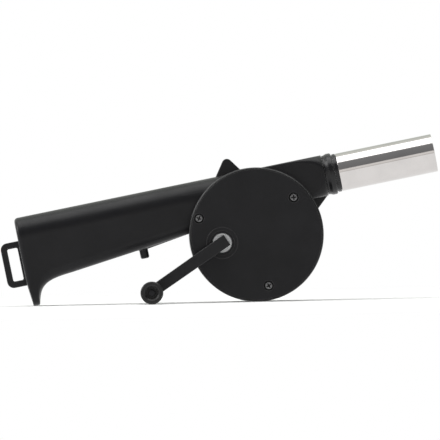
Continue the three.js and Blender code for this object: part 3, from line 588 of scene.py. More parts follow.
PEG_RADIUS = 2.75 * MM
PEG_FLARE = 1.5 * MM
PEG_TIP = 1.2 * MM
PEG_LENGTH = 6.2 * MM
PEG_REACH = -71.4 * MM
PEG_SINK = 0.3 * MM  # how far the flare's wide end lies inside the handle


def peg(sizes):
    """The peg under the handle."""
    base = underside(sizes, PEG_REACH) + PEG_SINK
    bottom = base - PEG_SINK - PEG_LENGTH
    profile = [(0, bottom)]
    profile += [(PEG_RADIUS - PEG_TIP + b, bottom + PEG_TIP - a)
                for a, b in arc(PEG_TIP, 0, 90, 6)]
    profile += [(PEG_RADIUS + PEG_FLARE - a, base - PEG_FLARE + b)
                for a, b in arc(PEG_FLARE, 0, 90, 6)]
    foot = PEG_RADIUS + PEG_FLARE
    profile += [(foot, base + sizes.wall), (0, base + sizes.wall)]
    shape = lathe(profile, 40)
    for vertex in shape.verts:
        x, along, z = vertex.co
        share = min(max((along - base + PEG_FLARE) / PEG_FLARE, 0), 1)
        lift = (underside(sizes, PEG_REACH + x) - underside(sizes, PEG_REACH)) * share
        vertex.co = (PEG_REACH + x, z, along + lift)
    bmesh.ops.recalc_face_normals(shape, faces=shape.faces)
    return shape


LOOP_REACH = 12 * MM
LOOP_HEIGHT = 28.6 * MM
LOOP_BAR = 4 * MM
LOOP_STRIP = 1.4 * MM  # what is left of the loop beside the handle's end face
LOOP_ROUND = 4.2 * MM
LOOP_HOLE_ROUND = 1.05 * MM
LOOP_HALF_DEPTH = 2.5 * MM
LOOP_EDGE = 0.7 * MM
LOOP_FLARE = 0.5 * MM


def strap_loop(sizes):
    """The loop at the tail, and the hole through it."""
    left = -sizes.tail_reach - LOOP_REACH
    right = -sizes.tail_reach + sizes.wall / 2
    bottom = sizes.body_top - sizes.tail_height - LOOP_DROP
    top = bottom + LOOP_HEIGHT
    outside = rounded([(left, bottom, LOOP_ROUND), (right, bottom, 0), (right, top, 0),
                       (left, top, LOOP_ROUND)], 8)
    sides = (left + LOOP_BAR, -sizes.tail_reach - LOOP_STRIP)
    ends = (bottom + LOOP_BAR, top - LOOP_BAR)
    inside = rounded([(sides[i], ends[j], LOOP_HOLE_ROUND)
                      for i, j in ((0, 0), (1, 0), (1, 1), (0, 1))], 5)
    half = LOOP_HALF_DEPTH
    flare = LOOP_FLARE
    centre = Vector((left + right, bottom + top)) / 2
    wide = [tuple(Vector(point) + Vector((math.copysign(flare, point[0] - centre.x),
                                          math.copysign(flare, point[1] - centre.y))))
            for point in inside]
    hole = stack([(-half - MM, wide), (-half, wide), (flare - half, inside), (half - flare, inside),
                  (half, wide), (half + MM, wide)])
    return slab(outside, -half, half, LOOP_EDGE, 3), hole


WEB_DROP = 7 * MM
WEB_REACH = 49.1 * MM
WEB_ROOT = 4.4 * MM
WEB_SINK = 0.95 * MM  # how far the web's top lies in the duct's wall
WEB_HALF_DEPTH = 1.5 * MM
WEB_EDGE = 0.4 * MM


def web(sizes):
    """The thin web in the corner between drum and duct."""
    bottom = sizes.body_top - sizes.duct_height
    low = bottom - WEB_DROP
    foot = math.sqrt(sizes.drum_radius ** 2 - low ** 2)
    top = bottom + WEB_SINK
    outline = [(foot - WEB_ROOT, low), (foot, low), (WEB_REACH, bottom), (WEB_REACH, top),
               (foot - WEB_ROOT, top)]
    return slab(outline, -WEB_HALF_DEPTH, WEB_HALF_DEPTH, WEB_EDGE)


# Degrees round the fan's axis, and distance inside the drum's inner face
COVER_SCREWS = ((152.8, 2.4 * MM), (33.4, 7 * MM), (-88.2, 7 * MM))
BODY_SCREWS = ((-137 * MM, 22 * MM), (-95 * MM, 22 * MM), (-49 * MM, 22 * MM),
               (-36 * MM, 31 * MM), (27 * MM, 36.2 * MM))
NECK_SCREW = 3  # its boss and post are cut to the handle's outside
# Radii, and places along y between the cover's side (below 0) and the grille's
SCREW_HOLE = 1.6 * MM
SCREW_RECESS = 3.2 * MM
SCREW_SINK = 6.3 * MM
RECESS_MOUTH = 0.4 * MM
BODY_SCREW_END = -7.7 * MM
COVER_SCREW_END = -12.9 * MM
BOSS_RADIUS = 4.05 * MM
POST_RADIUS = 3.3 * MM
PAD_FRONT = -18.7 * MM
PAD_ROOT = -6.6 * MM
POCKET_FLOOR = -8.1 * MM
POCKET_WALL = 2.5 * MM
BEARING_ROOT = -7.1 * MM  # inside the pocket's wall
BEARING_RADIUS = 4.6 * MM
BEARING_LENGTH = 4 * MM
BUSH_SEAT = 3 * MM
FRONT_BEARING_END = -4.4 * MM
CRANK_BOSS = 5.6 * MM
CRANK_BOSS_FRONT = -11.1 * MM
CRANK_SEAT = 3.9 * MM
IDLER_BOSS = 3.5 * MM
IDLER_BOSS_FRONT = -9.4 * MM
AXLE_SEAT = 1.8 * MM
AXLE_END = -6.4 * MM
OPEN_FRONT = -24 * MM  # in front of the housing


def body_outside(sizes, cover):
    """The housing's closed outside, before it is hollowed and split."""
    loop, loop_hole = strap_loop(sizes)
    whole = as_object(drum(sizes, cover), "housing")
    combine(whole, [handle(sizes), duct(sizes), fin(sizes), peg(sizes), web(sizes), loop], "UNION")
    combine(whole, [loop_hole], "DIFFERENCE")
    return whole


SPOKES = 6
SPOKE_WIDTH = 2.4 * MM
SLOT_WIDTH = 3.2 * MM
GRILLE_RINGS = 3
GRILLE_RADIUS = 8 * MM
GRILLE_PITCH = 5.6 * MM
SLOT_FLARE = 0.5 * MM


def arc_slot(inner, outer, middle, wider=0.0):
    """Outline of one curved slot of the grille, each side moved out by wider."""
    inner -= wider
    outer += wider
    mean = (inner + outer) / 2
    half = 180 / SPOKES - math.degrees((SPOKE_WIDTH / 2 - wider) / mean)
    return arc(outer, middle - half, 2 * half, 14) + arc(inner, middle + half, -2 * half, 14)


def grille_slots(sizes):
    """Slots of the intake grille: rings of arcs between straight spokes, their rims flared."""
    slots = []
    face = sizes.drum_back
    for ring in range(GRILLE_RINGS):
        inner = GRILLE_RADIUS + GRILLE_PITCH * ring
        for spoke in range(SPOKES):
            middle = 360 * (spoke + 0.5) / SPOKES
            plain = arc_slot(inner, inner + SLOT_WIDTH, middle)
            wide = arc_slot(inner, inner + SLOT_WIDTH, middle, SLOT_FLARE)
            slots.append(stack([(face - 2 * sizes.wall, plain), (face - SLOT_FLARE, plain),
                                (face, wide), (face + MM, wide)]))
    return slots


SEAM_DEPTH = 0.7 * MM
TONGUE_ROOT = 0.5 * MM
TONGUE_CLEAR = 0.03 * MM
TONGUE_INSIDE = 0.15 * MM
TONGUE_OVERLAP = 5 * MM  # from the fan's axis to the ends that lie inside the drum's piece


def seam_layer(sizes, inset, grip_end, duct_inset, duct_end, front, back):
    """Drum, handle and duct as flat slabs, each drawn in from the housing's outside."""
    left = inset - sizes.tail_reach
    top = sizes.body_top - inset
    duct_low = sizes.body_top - sizes.duct_height + duct_inset
    duct_top = sizes.body_top - duct_inset
    return [rod(sizes.drum_radius - inset, front, back, segments=DRUM_SEGMENTS),
            slab([(left, underside(sizes, left) + inset),
                  (grip_end, underside(sizes, grip_end) + inset),
                  (grip_end, top), (left, top)], front, back),
            slab([(TONGUE_OVERLAP, duct_low), (duct_end, duct_low),
                  (duct_end, duct_top), (TONGUE_OVERLAP, duct_top)], front, back)]


def tongue(sizes):
    """The thin tongue of the front half, which closes the seam behind its outer line."""
    gap = sizes.seam / 2
    outer = seam_layer(sizes, SEAM_DEPTH, -TONGUE_OVERLAP, SEAM_DEPTH,
                       sizes.duct_reach - SEAM_DEPTH, -gap - TONGUE_ROOT, gap - TONGUE_CLEAR)
    inner = seam_layer(sizes, sizes.wall - TONGUE_INSIDE,
                       TONGUE_INSIDE - HANDLE_SPACE_END * sizes.drum_radius,
                       DUCT_WALL - TONGUE_INSIDE, sizes.duct_reach + MM, -sizes.wall, sizes.wall)
    whole = combine(as_object(outer[0], "tongue"), outer[1:], "UNION")
    return as_shape(combine(whole, inner, "DIFFERENCE"))


def hollow(whole, sizes):
    """Takes the gear pocket, the fan's chamber, the duct's bore and the handle's room out of it."""
    inner = sizes.drum_radius - sizes.wall
    floor = POCKET_FLOOR + POCKET_WALL
    chamber = rod(inner, floor, sizes.drum_back - sizes.wall, segments=DRUM_SEGMENTS)
    pocket = rod(inner, -sizes.drum_front - MM, POCKET_FLOOR, segments=DRUM_SEGMENTS)
    front_part = rod(sizes.drum_radius, -2 * sizes.drum_front, floor, segments=DRUM_SEGMENTS)
    bore = trimmed(duct(sizes, DUCT_WALL), front_part, "DIFFERENCE")
    combine(whole, [handle_space(sizes), pocket, chamber, bore], "DIFFERENCE")


def screw_columns(sizes, radius, front, back, segments):
    """Columns round the body screws; the one in the neck is cut to the handle's outside."""
    columns = rods(radius, front, back, BODY_SCREWS, segments)
    columns[NECK_SCREW] = trimmed(columns[NECK_SCREW], handle(sizes))
    return columns


def finish_back(half, sizes, gap):
    """Gives the back half its bosses, bearing, screw recesses and grille."""
    inside = sizes.drum_back - sizes.wall
    outside = sizes.body_depth / 2
    bosses = screw_columns(sizes, BOSS_RADIUS, gap, outside - sizes.wall / 2, 32)
    bearing = rod(BEARING_RADIUS, inside - BEARING_LENGTH, sizes.drum_back - MM)
    combine(half, [*bosses, bearing], "UNION")
    recesses = [sink(SCREW_RECESS, SCREW_SINK - SEAT_GAP, outside, axis, RECESS_MOUTH)
                for axis in BODY_SCREWS]
    shanks = rods(SCREW_HOLE, -MM, SCREW_SINK + MM, BODY_SCREWS)
    seat = rod(BUSH_SEAT, 0, inside + SEAT_GAP)
    combine(half, [*recesses, *shanks, *grille_slots(sizes), seat], "DIFFERENCE")


def finish_front(half, sizes, gap):
    """Gives the front half its posts, pads and bearings, their holes, and the seam's tongue."""
    idler = in_plane(AXES["idler_spin"])
    cover_screws = cover_screw_axes(sizes)
    posts = screw_columns(sizes, POST_RADIUS, sizes.wall / 2 - sizes.body_depth / 2, -gap,
                          HOLE_SEGMENTS)
    pads = rods(POST_RADIUS, PAD_FRONT, PAD_ROOT, cover_screws)
    bearings = [rod(BEARING_RADIUS, BEARING_ROOT, FRONT_BEARING_END),
                rod(CRANK_BOSS, CRANK_BOSS_FRONT, BEARING_ROOT, CRANK),
                rod(IDLER_BOSS, IDLER_BOSS_FRONT, BEARING_ROOT, idler, 32)]
    combine(half, posts + pads + bearings, "UNION")
    holes = rods(SCREW_HOLE, BODY_SCREW_END, MM, BODY_SCREWS)
    holes += rods(SCREW_HOLE, OPEN_FRONT, COVER_SCREW_END, cover_screws)
    holes += [rod(BUSH_SEAT, OPEN_FRONT, 0), rod(CRANK_SEAT, OPEN_FRONT, POCKET_FLOOR, CRANK),
              rod(AXLE_SEAT, OPEN_FRONT, AXLE_END, idler, HOLE_SEGMENTS)]
    combine(half, holes, "DIFFERENCE")
    keep_side(half, -gap, -1)
    combine(half, [tongue(sizes)], "UNION")


class BLOWER_OT_housing(bpy.types.Operator):
    """Builds the two halves of the moulded housing"""

    bl_idname = "blower.housing"
    bl_label = "Housing"

    def execute(self, context):
        sizes = settings().housing
        front = body_outside(sizes, settings().cover)
        hollow(front, sizes)
        back = front.copy()
        back.data = front.data.copy()
        bpy.context.scene.collection.objects.link(back)
        front.name = "front_housing"
        back.name = "rear_housing"
        gap = sizes.seam / 2
        keep_side(back, gap, 1)
        finish_back(back, sizes, gap)
        finish_front(front, sizes, gap)
        plastic = moulded_plastic("Housing plastic", settings().finish.plastic,
                                  roughness=0.38, wear_and_highlight=0.35, depth=0.12)
        for half, node_name in ((front, "front_shell"), (back, "rear_shell")):
            dress(half, plastic, "housing", [node_name])
        return {"FINISHED"}


# Cover and screws


COVER_EDGE = 0.05 * MM
COVER_BACK_EDGE = 0.15 * MM
RING_EDGE = 0.2 * MM
HUB_FLARE = 0.15 * MM
COVER_LIP = 1.4 * MM  # width and depth of the lip that centres the cover
PAD_RADIUS = 4 * MM
PAD_HEIGHT = 0.8 * MM
PAD_CLEAR = 0.1 * MM
SHAFT_SOCKET = 3.2 * MM  # radius and depth
SHAFT_HOLE = 1.5 * MM
AXLE_DEPTH = 1.1 * MM
RECESS_FLARE = 0.08 * MM
MOAT_WIDTH = 0.9 * MM
MOAT_DEPTH = 0.2 * MM


def cover_screw_axes(sizes):
    """Axes of the cover's screws in the blower's plane."""
    return [polar(sizes.drum_radius - sizes.wall - inset, degrees)
            for degrees, inset in COVER_SCREWS]


class BLOWER_OT_cover(bpy.types.Operator):
    """Builds the round gear cover with its ring, recesses and holes"""

    bl_idname = "blower.cover"
    bl_label = "Gear cover"

    def execute(self, context):
        housing = settings().housing
        sizes = settings().cover
        radius = housing.drum_radius - sizes.inset
        face = -housing.drum_front
        back = face + sizes.thickness
        plate = turned_piece("gear_cover_piece", [
            (0, face, 0), (radius - sizes.chamfer, face, COVER_EDGE),
            (radius, face + sizes.chamfer, COVER_EDGE), (radius, back, COVER_BACK_EDGE),
            (0, back, 0)], 4, 160)
        root = face + sizes.thickness / 2
        crest = face - sizes.ring_height
        ring = lathe(rounded([
            (sizes.ring_inner, root, 0), (sizes.ring_inner, crest, RING_EDGE),
            (sizes.ring_outer, crest, RING_EDGE), (sizes.ring_outer, root, 0)], 4), 72, CRANK)
        inner = housing.drum_radius - housing.wall - SEAT_GAP
        lip = lathe([(inner - COVER_LIP, root), (inner, root), (inner, back + COVER_LIP),
                     (inner - COVER_LIP, back + COVER_LIP)], 120)
        beyond = inner * 1.1
        lip_half = trimmed(lip, block((0, face, -beyond), (beyond, 0, beyond)))
        axes = cover_screw_axes(housing)
        pads = [trimmed(rod(PAD_RADIUS, root, back + PAD_HEIGHT, axis, 36),
                        rod(inner - PAD_CLEAR, face, 0, segments=120)) for axis in axes]
        socket = rod(SHAFT_SOCKET, root, back + SHAFT_SOCKET, segments=32)
        combine(plate, [ring, lip_half, socket] + pads, "UNION")
        hub = settings().crank.hub_diameter / 2 + SEAT_GAP
        cuts = [sink(hub, 0, face, CRANK, HUB_FLARE, 72)]
        floor = face + sizes.recess_depth
        rim = sizes.recess / 2
        for axis in axes:
            cuts.append(sink(rim, floor, face, axis, RECESS_FLARE))
            cuts.append(lathe([(rim - MOAT_WIDTH, floor - MOAT_DEPTH), (rim, floor - MOAT_DEPTH),
                               (rim, floor + MM), (rim - MOAT_WIDTH, floor + MM)], 36, axis))
            cuts.append(rod(SCREW_HOLE, face - 2 * MM, 0, axis, HOLE_SEGMENTS))
        cuts.append(rod(SHAFT_HOLE, back, 0, segments=HOLE_SEGMENTS))
        cuts.append(rod(AXLE_SEAT, back - AXLE_DEPTH, 0, in_plane(AXES["idler_spin"]),
                        HOLE_SEGMENTS))
        combine(plate, cuts, "DIFFERENCE")
        plastic = moulded_plastic("Cover plastic", settings().finish.cover,
                                  roughness=0.5, wear_and_highlight=0.25, depth=0.1)
        dress(plate, plastic, "housing", ["gear_cover"])
        return {"FINISHED"}


HEAD_RADIUS = 2.3 * MM
HEAD_HEIGHT = 1.2 * MM
HEAD_ROUND = 0.55 * MM
SHANK_RADIUS = 1.3 * MM
POINT_LENGTH = 2 * MM
CROSS_REACH = 1.7 * MM
CROSS_WIDTH = 0.45 * MM  # from the middle of an arm to its side
CROSS_DEPTH = 1.9 * MM
CROSS_TAPER = 0.12
COVER_SCREW_LENGTH = 8 * MM
BODY_SCREW_LENGTH = 13 * MM
COVER_SCREW_TURNS = (0.6, 1.1)  # how the first cross is turned, and how much more the next ones
BODY_SCREW_TURNS = (0.3, 0.8)


def screw(name, axis, face, direction, length, turn):
    """A pan-head screw with a cross recess, its head at face and its point along direction."""
    profile = [(0, 0)]
    profile += [(HEAD_RADIUS - HEAD_ROUND + b, HEAD_ROUND - a)
                for a, b in arc(HEAD_ROUND, 0, 90, 6)]
    profile += [(HEAD_RADIUS, HEAD_HEIGHT), (SHANK_RADIUS, HEAD_HEIGHT),
                (SHANK_RADIUS, length - POINT_LENGTH), (0, length)]
    body = lathe([(r, face + direction * along) for r, along in profile], 40, axis)
    thing = as_object(body, name)
    place = Matrix.Translation((axis[0], 0, axis[1])) @ Matrix.Rotation(turn, 4, "Y")
    for wide, tall in ((CROSS_REACH, CROSS_WIDTH), (CROSS_WIDTH, CROSS_REACH)):
        cross = stack([(face + direction * depth, [
            (wide * share * a, tall * share * b) for a, b in ((-1, -1), (1, -1), (1, 1), (-1, 1))])
            for depth, share in ((-MM, 1), (0, 1), (CROSS_DEPTH, CROSS_TAPER))])
        cross.transform(place)
        combine(thing, [cross], "DIFFERENCE")
    return thing


class BLOWER_OT_screws(bpy.types.Operator):
    """Builds the cross-recess screws of cover and housing"""

    bl_idname = "blower.screws"
    bl_label = "Screws"

    def execute(self, context):
        housing = settings().housing
        steel = plated_steel("Screw steel", settings().finish.screws, 0.38)
        face = -housing.drum_front + settings().cover.recess_depth - SEAT_GAP - HEAD_HEIGHT
        rows = (
            ("cover_screw", cover_screw_axes(housing), face, 1, COVER_SCREW_LENGTH,
             COVER_SCREW_TURNS),
            ("body_screw", BODY_SCREWS, SCREW_SINK + HEAD_HEIGHT, -1, BODY_SCREW_LENGTH,
             BODY_SCREW_TURNS))
        for label, axes, head, direction, length, (turn, step) in rows:
            for i, axis in enumerate(axes):
                name = f"{label}_{i + 1}"
                piece = screw(name + "_piece", axis, head, direction, length, turn + step * i)
                dress(piece, steel, "housing", [name])
        return {"FINISHED"}


# Crank and knob


ARM_SHANK = 3.3 * MM  # from the middle of the square shank to its side
ARM_SHANK_LENGTH = 6.5 * MM
PIN_HOLE = 1.8 * MM
PIN_HOLE_DEPTH = 3.9 * MM


class BLOWER_OT_crank(bpy.types.Operator):
    """Builds the crank arm"""

    bl_idname = "blower.crank"
    bl_label = "Crank arm"

    def execute(self, context):
        housing = settings().housing
        sizes = settings().crank
        back = -housing.drum_front - sizes.hub_proud - SEAT_GAP
        front = back - sizes.arm_thickness
        reach = math.dist(CRANK, KNOB)
        direction = math.atan2(KNOB[1] - CRANK[1], KNOB[0] - CRANK[0])
        half_hub = sizes.arm_width_hub / 2
        half_knob = sizes.arm_width_knob / 2
        outline = [(-sizes.arm_end, -half_hub), (0, -half_hub)]
        outline += arc(half_knob, -90, 180, 24, (reach, 0))
        outline += [(0, half_hub), (-sizes.arm_end, half_hub)]
        arm = as_object(slab(outline, front, back, sizes.arm_edge, 4), "crank_arm_piece")
        shank = block((-ARM_SHANK, back - MM, -ARM_SHANK),
                      (ARM_SHANK, back + ARM_SHANK_LENGTH, ARM_SHANK))
        combine(arm, [shank], "UNION")
        holes = [rod(SCREW_HOLE, back, 0, segments=HOLE_SEGMENTS),
                 rod(PIN_HOLE, front - MM, front + PIN_HOLE_DEPTH, (reach, 0), 32)]
        combine(arm, holes, "DIFFERENCE")
        turn = Matrix.Translation((CRANK[0], 0, CRANK[1])) @ Matrix.Rotation(-direction, 4, "Y")
        arm.data.transform(turn)
        plastic = moulded_plastic("Crank plastic", settings().finish.crank,
                                  roughness=0.42, wear_and_highlight=0.3, depth=0.14)
        dress(arm, plastic, "crank", ["crank_arm"])
        return {"FINISHED"}


KNOB_CORE = 2.3 * MM  # radius of the middle that stands behind the pin's head
KNOB_GROOVE = 4 * MM  # depth of the groove round it
KNOB_STEP = 0.5 * MM  # how much smaller the groove's radius is than the recess's
KNOB_MOUTH = (0.4 * MM, 0.8 * MM)  # width and depth of the recess's bevel
KNOB_RIM = (0.6 * MM, 0.5 * MM)  # width and depth of the rim's bevel
KNOB_EDGE = 0.2 * MM
KNOB_STEP_EDGE = 0.3 * MM
KNOB_RIM_EDGE = 0.25 * MM
KNOB_BASE_EDGE = 0.5 * MM
PIN_HEAD = 2.2 * MM
PIN_HEAD_HEIGHT = 1.6 * MM
PIN_HEAD_ROUND = 0.6 * MM
PIN_HEAD_EDGE = 0.1 * MM
PIN_RADIUS = 1.5 * MM
PIN_GRIP = 3.6 * MM  # how far the pin goes into the arm
PIN_END_EDGE = 0.2 * MM


class BLOWER_OT_knob(bpy.types.Operator):
    """Builds the knob and the pin that it spins on"""

    bl_idname = "blower.knob"
    bl_label = "Knob and pin"

    def execute(self, context):
        housing = settings().housing
        sizes = settings().crank
        arm_front = -housing.drum_front - sizes.hub_proud - SEAT_GAP - sizes.arm_thickness
        back = arm_front - SEAT_GAP
        front = back - sizes.knob_length
        rim = sizes.knob_diameter / 2
        base = sizes.knob_base / 2
        recess = sizes.knob_recess / 2
        floor = front + sizes.recess_depth
        step = recess - KNOB_STEP
        mouth_width, mouth_depth = KNOB_MOUTH
        rim_width, rim_depth = KNOB_RIM
        knob = turned_piece("crank_knob_piece", [
            (PIN_HOLE, floor, 0), (KNOB_CORE, floor, 0), (KNOB_CORE, floor + KNOB_GROOVE, 0),
            (step, floor + KNOB_GROOVE, 0), (step, front + mouth_depth, KNOB_STEP_EDGE),
            (recess + mouth_width, front, KNOB_EDGE), (rim - rim_width, front, KNOB_EDGE),
            (rim, front + rim_depth, KNOB_RIM_EDGE), (base, back, KNOB_BASE_EDGE),
            (PIN_HOLE, back, 0)], 6, 96, KNOB)
        plastic = moulded_plastic("Knob plastic", settings().finish.knob,
                                  roughness=0.3, wear_and_highlight=0.3, depth=0.1, gloss=0.38)
        dress(knob, plastic, "knob", ["crank_knob"])
        seat = floor - SEAT_GAP
        top = seat - PIN_HEAD_HEIGHT
        end = arm_front + PIN_GRIP
        pin = turned_piece("knob_pin_piece", [
            (0, top, 0), (PIN_HEAD, top, PIN_HEAD_ROUND), (PIN_HEAD, seat, PIN_HEAD_EDGE),
            (PIN_RADIUS, seat, 0), (PIN_RADIUS, end, PIN_END_EDGE), (0, end, 0)], 5, 48, KNOB)
        steel = plated_steel("Pin steel", settings().finish.pin, 0.5)
        dress(pin, steel, "crank", ["knob_pin"])
        return {"FINISHED"}


# Nozzle


COLLAR_WALL = 1.5 * MM
NECK_SPIGOT = 6 * MM
TUBE_SPIGOT = 11 * MM
# Corners of the thick ring: how far along it, how far inside its largest radius, the rounding
COLLAR_HUMP = ((0, 0.8 * MM, 0.3 * MM), (1.1 * MM, 0.75 * MM, 0.6 * MM), (3 * MM, 0, 0.8 * MM))
COLLAR_DIP = 0.1 * MM
COLLAR_SHOULDER = 1.1 * MM
GROOVE_WIDTH = 0.6 * MM
GROOVE_DEPTH = 0.5 * MM
THIN_RING_WIDTH = 2 * MM
THIN_RING_HEIGHT = 0.1 * MM
NECK_SPIGOT_EDGE = 0.3 * MM
THIN_RING_EDGE = 0.25 * MM
TUBE_SPIGOT_EDGE = 0.4 * MM
TUBE_ROOT_EDGE = 0.15 * MM
TUBE_MOUTH_EDGE = 0.25 * MM


class BLOWER_OT_nozzle(bpy.types.Operator):
    """Builds the black collar and the stainless tube"""

    bl_idname = "blower.nozzle"
    bl_label = "Collar and tube"

    def execute(self, context):
        housing = settings().housing
        sizes = settings().nozzle
        axis = (0.0, housing.body_top - housing.duct_height / 2)
        ring = sizes.collar_diameter / 2
        tube = sizes.tube_diameter / 2
        inner = tube - sizes.tube_wall
        spigot = inner - SEAT_GAP
        bore = spigot - COLLAR_WALL
        neck = housing.duct_height / 2 - DUCT_WALL - SEAT_GAP
        start = housing.duct_reach + SEAT_GAP
        step = start + sizes.collar_length
        lip = step + GROOVE_WIDTH
        end = lip + THIN_RING_WIDTH
        lip_radius = tube + THIN_RING_HEIGHT
        groove = lip_radius - GROOVE_DEPTH
        collar = turned_piece("nozzle_collar_piece", [
            (bore, start - NECK_SPIGOT, NECK_SPIGOT_EDGE),
            (neck, start - NECK_SPIGOT, NECK_SPIGOT_EDGE), (neck, start, 0),
            *[(ring - inside, start + along, edge) for along, inside, edge in COLLAR_HUMP],
            (ring - COLLAR_DIP, step, COLLAR_SHOULDER), (groove, step, 0), (groove, lip, 0),
            (lip_radius, lip, THIN_RING_EDGE), (lip_radius, end, THIN_RING_EDGE), (spigot, end, 0),
            (spigot, end + TUBE_SPIGOT, TUBE_SPIGOT_EDGE),
            (bore, end + TUBE_SPIGOT, TUBE_SPIGOT_EDGE)], 5, 112, axis, "X")
        plastic = moulded_plastic("Collar plastic", settings().finish.plastic,
                                  roughness=0.26, wear_and_highlight=0.3, depth=0.08, gloss=0.4)
        dress(collar, plastic, "housing", ["nozzle_collar"])
        root = end + SEAT_GAP
        mouth = root + sizes.tube_length
        pipe = turned_piece("nozzle_tube_piece", [
            (inner, root, TUBE_ROOT_EDGE), (tube, root, TUBE_ROOT_EDGE),
            (tube, mouth, TUBE_MOUTH_EDGE), (inner, mouth, TUBE_MOUTH_EDGE)], 4, 160, axis, "X")
        dress(pipe, polished_steel(), "housing", ["nozzle_tube"])
        return {"FINISHED"}


# Pieces that stay as the frame has them


WORKS_EDGE = 0.12 * MM


class BLOWER_OT_works(bpy.types.Operator):
    """Gives gears, shaft, bushes and impeller their materials"""

    bl_idname = "blower.works"
    bl_label = "Gears and fan"

    def execute(self, context):
        finish = settings().finish
        hub = moulded_plastic("Hub nylon", finish.hub, roughness=0.42, wear_and_highlight=0.5, depth=0.04)
        gears = moulded_plastic("Gear nylon", finish.gears, roughness=0.4, wear_and_highlight=0.5, depth=0.03)
        fan = moulded_plastic("Fan plastic", finish.plastic, roughness=0.4, wear_and_highlight=0.4, depth=0.1)
        shaft = plated_steel("Shaft steel", finish.shaft, 0.25)
        screws = plated_steel("Arm screw steel", finish.screws, 0.38)
        bronze = plated_steel("Bush bronze", finish.bronze, 0.42)
        dressed = {
            "crank_gear": hub, "crank_screw": screws, "idler_gear": gears, "fan_pinion": gears,
            "impeller": fan, "fan_shaft": shaft, "idler_axle": shaft, "front_bush": bronze,
            "rear_bush": bronze,
        }
        for name, material in dressed.items():
            piece = frame["nodes"][name]
            piece.data.materials.clear()
            piece.data.materials.append(material)
            smooth = piece.modifiers.new("Edges", "BEVEL")
            smooth.width = WORKS_EDGE
            smooth.segments = 2
            smooth.limit_method = "ANGLE"
            smooth.angle_limit = SMOOTH_ANGLE
        return {"FINISHED"}


# Materials


def node(tree, kind, links=(), **values):
    """A node with its settings; links are pairs of input and the socket or value that feeds it."""
    made = tree.nodes.new(kind)
    for label, value in values.items():
        setattr(made, label, value)
    for label, source in links:
        if isinstance(source, bpy.types.NodeSocket):
            tree.links.new(source, made.inputs[label])
        else:
            made.inputs[label].default_value = source
    return made


def noise(tree, place, scale, detail, roughness=0.5):
    """Soft noise at a place, between 0 and 1."""
    return node(tree, "ShaderNodeTexNoise", [
        ("Vector", place), ("Scale", scale), ("Detail", detail),
        ("Roughness", roughness)]).outputs["Fac"]


def ranged(tree, value, start, end, low=0.0, high=1.0, ease="LINEAR"):
    """A value that goes from low to high while its source goes from start to end."""
    return node(tree, "ShaderNodeMapRange", [
        ("Value", value), ("From Min", start), ("From Max", end), ("To Min", low),
        ("To Max", high)], interpolation_type=ease).outputs["Result"]


def maths(tree, operation, *values):
    """A number worked out from others."""
    return node(tree, "ShaderNodeMath", enumerate(values), operation=operation).outputs["Value"]


def blend(tree, factor, first, second, kind="MIX"):
    """A colour between two, or their product."""
    return node(tree, "ShaderNodeMix", [("Factor", factor), (6, first), (7, second)],
                data_type="RGBA", blend_type=kind).outputs[2]


def surface_group(name, extra):
    """An empty group that gives a surface its colour, roughness and height, with its sockets."""
    group = bpy.data.node_groups.new(name, "ShaderNodeTree")
    inputs = [("Colour", "NodeSocketColor", (0.5, 0.5, 0.5, 1)),
              ("Roughness", "NodeSocketFloat", 0.5), *extra]
    for label, kind, value in inputs:
        socket = group.interface.new_socket(name=label, in_out="INPUT", socket_type=kind)
        socket.default_value = value
    for label, kind in (("Colour", "NodeSocketColor"), ("Roughness", "NodeSocketFloat"),
                        ("Height", "NodeSocketFloat")):
        group.interface.new_socket(name=label, in_out="OUTPUT", socket_type=kind)
    enter = group.nodes.new("NodeGroupInput")
    leave = group.nodes.new("NodeGroupOutput")
    return group, enter.outputs, leave.inputs


EDGE_REACH = 0.6 * MM  # how far from an edge the scuffing and its painted highlight reach


def grain_group():
    """Fine spark-eroded grain with soft patches of gloss, and edges made paler by scuffing and a
    painted highlight.
    """
    existing = bpy.data.node_groups.get("Moulded grain")
    if existing:
        return existing
    group, enter, leave = surface_group("Moulded grain", [
        ("Grain Scale", "NodeSocketFloat", 2000.0), ("Wear And Highlight", "NodeSocketFloat", 0.3)])
    place = node(group, "ShaderNodeTexCoord").outputs["Object"]
    grain = noise(group, place, enter["Grain Scale"], detail=3.0, roughness=0.6)
    patches = noise(group, place, scale=55.0, detail=4.0, roughness=0.55)
    smooth = node(group, "ShaderNodeBevel", [("Radius", EDGE_REACH)], samples=4)
    plain = node(group, "ShaderNodeNewGeometry")
    across = node(group, "ShaderNodeVectorMath", [
        (0, smooth.outputs["Normal"]), (1, plain.outputs["Normal"])], operation="DOT_PRODUCT")
    edge = ranged(group, across.outputs["Value"], start=1.0, end=0.9)
    edge_wear_and_highlight = maths(group, "MULTIPLY", edge, enter["Wear And Highlight"])
    # Edges are blended to the paler edge colour: scuffing, and partly a painted highlight
    edge_colour_and_highlight = blend(group, edge_wear_and_highlight, enter["Colour"], (*settings().finish.worn_and_highlight, 1))
    spread = ranged(group, patches, 0.3, 0.7, low=0.82, high=1.18)
    gloss = ranged(group, patches, 0.3, 0.7, low=0.05, high=-0.05)
    rough = maths(group, "ADD", enter["Roughness"], gloss)
    group.links.new(blend(group, 1.0, edge_colour_and_highlight, spread, "MULTIPLY"), leave["Colour"])
    group.links.new(maths(group, "MULTIPLY_ADD", edge_wear_and_highlight, -0.12, rough), leave["Roughness"])
    group.links.new(grain, leave["Height"])
    return group


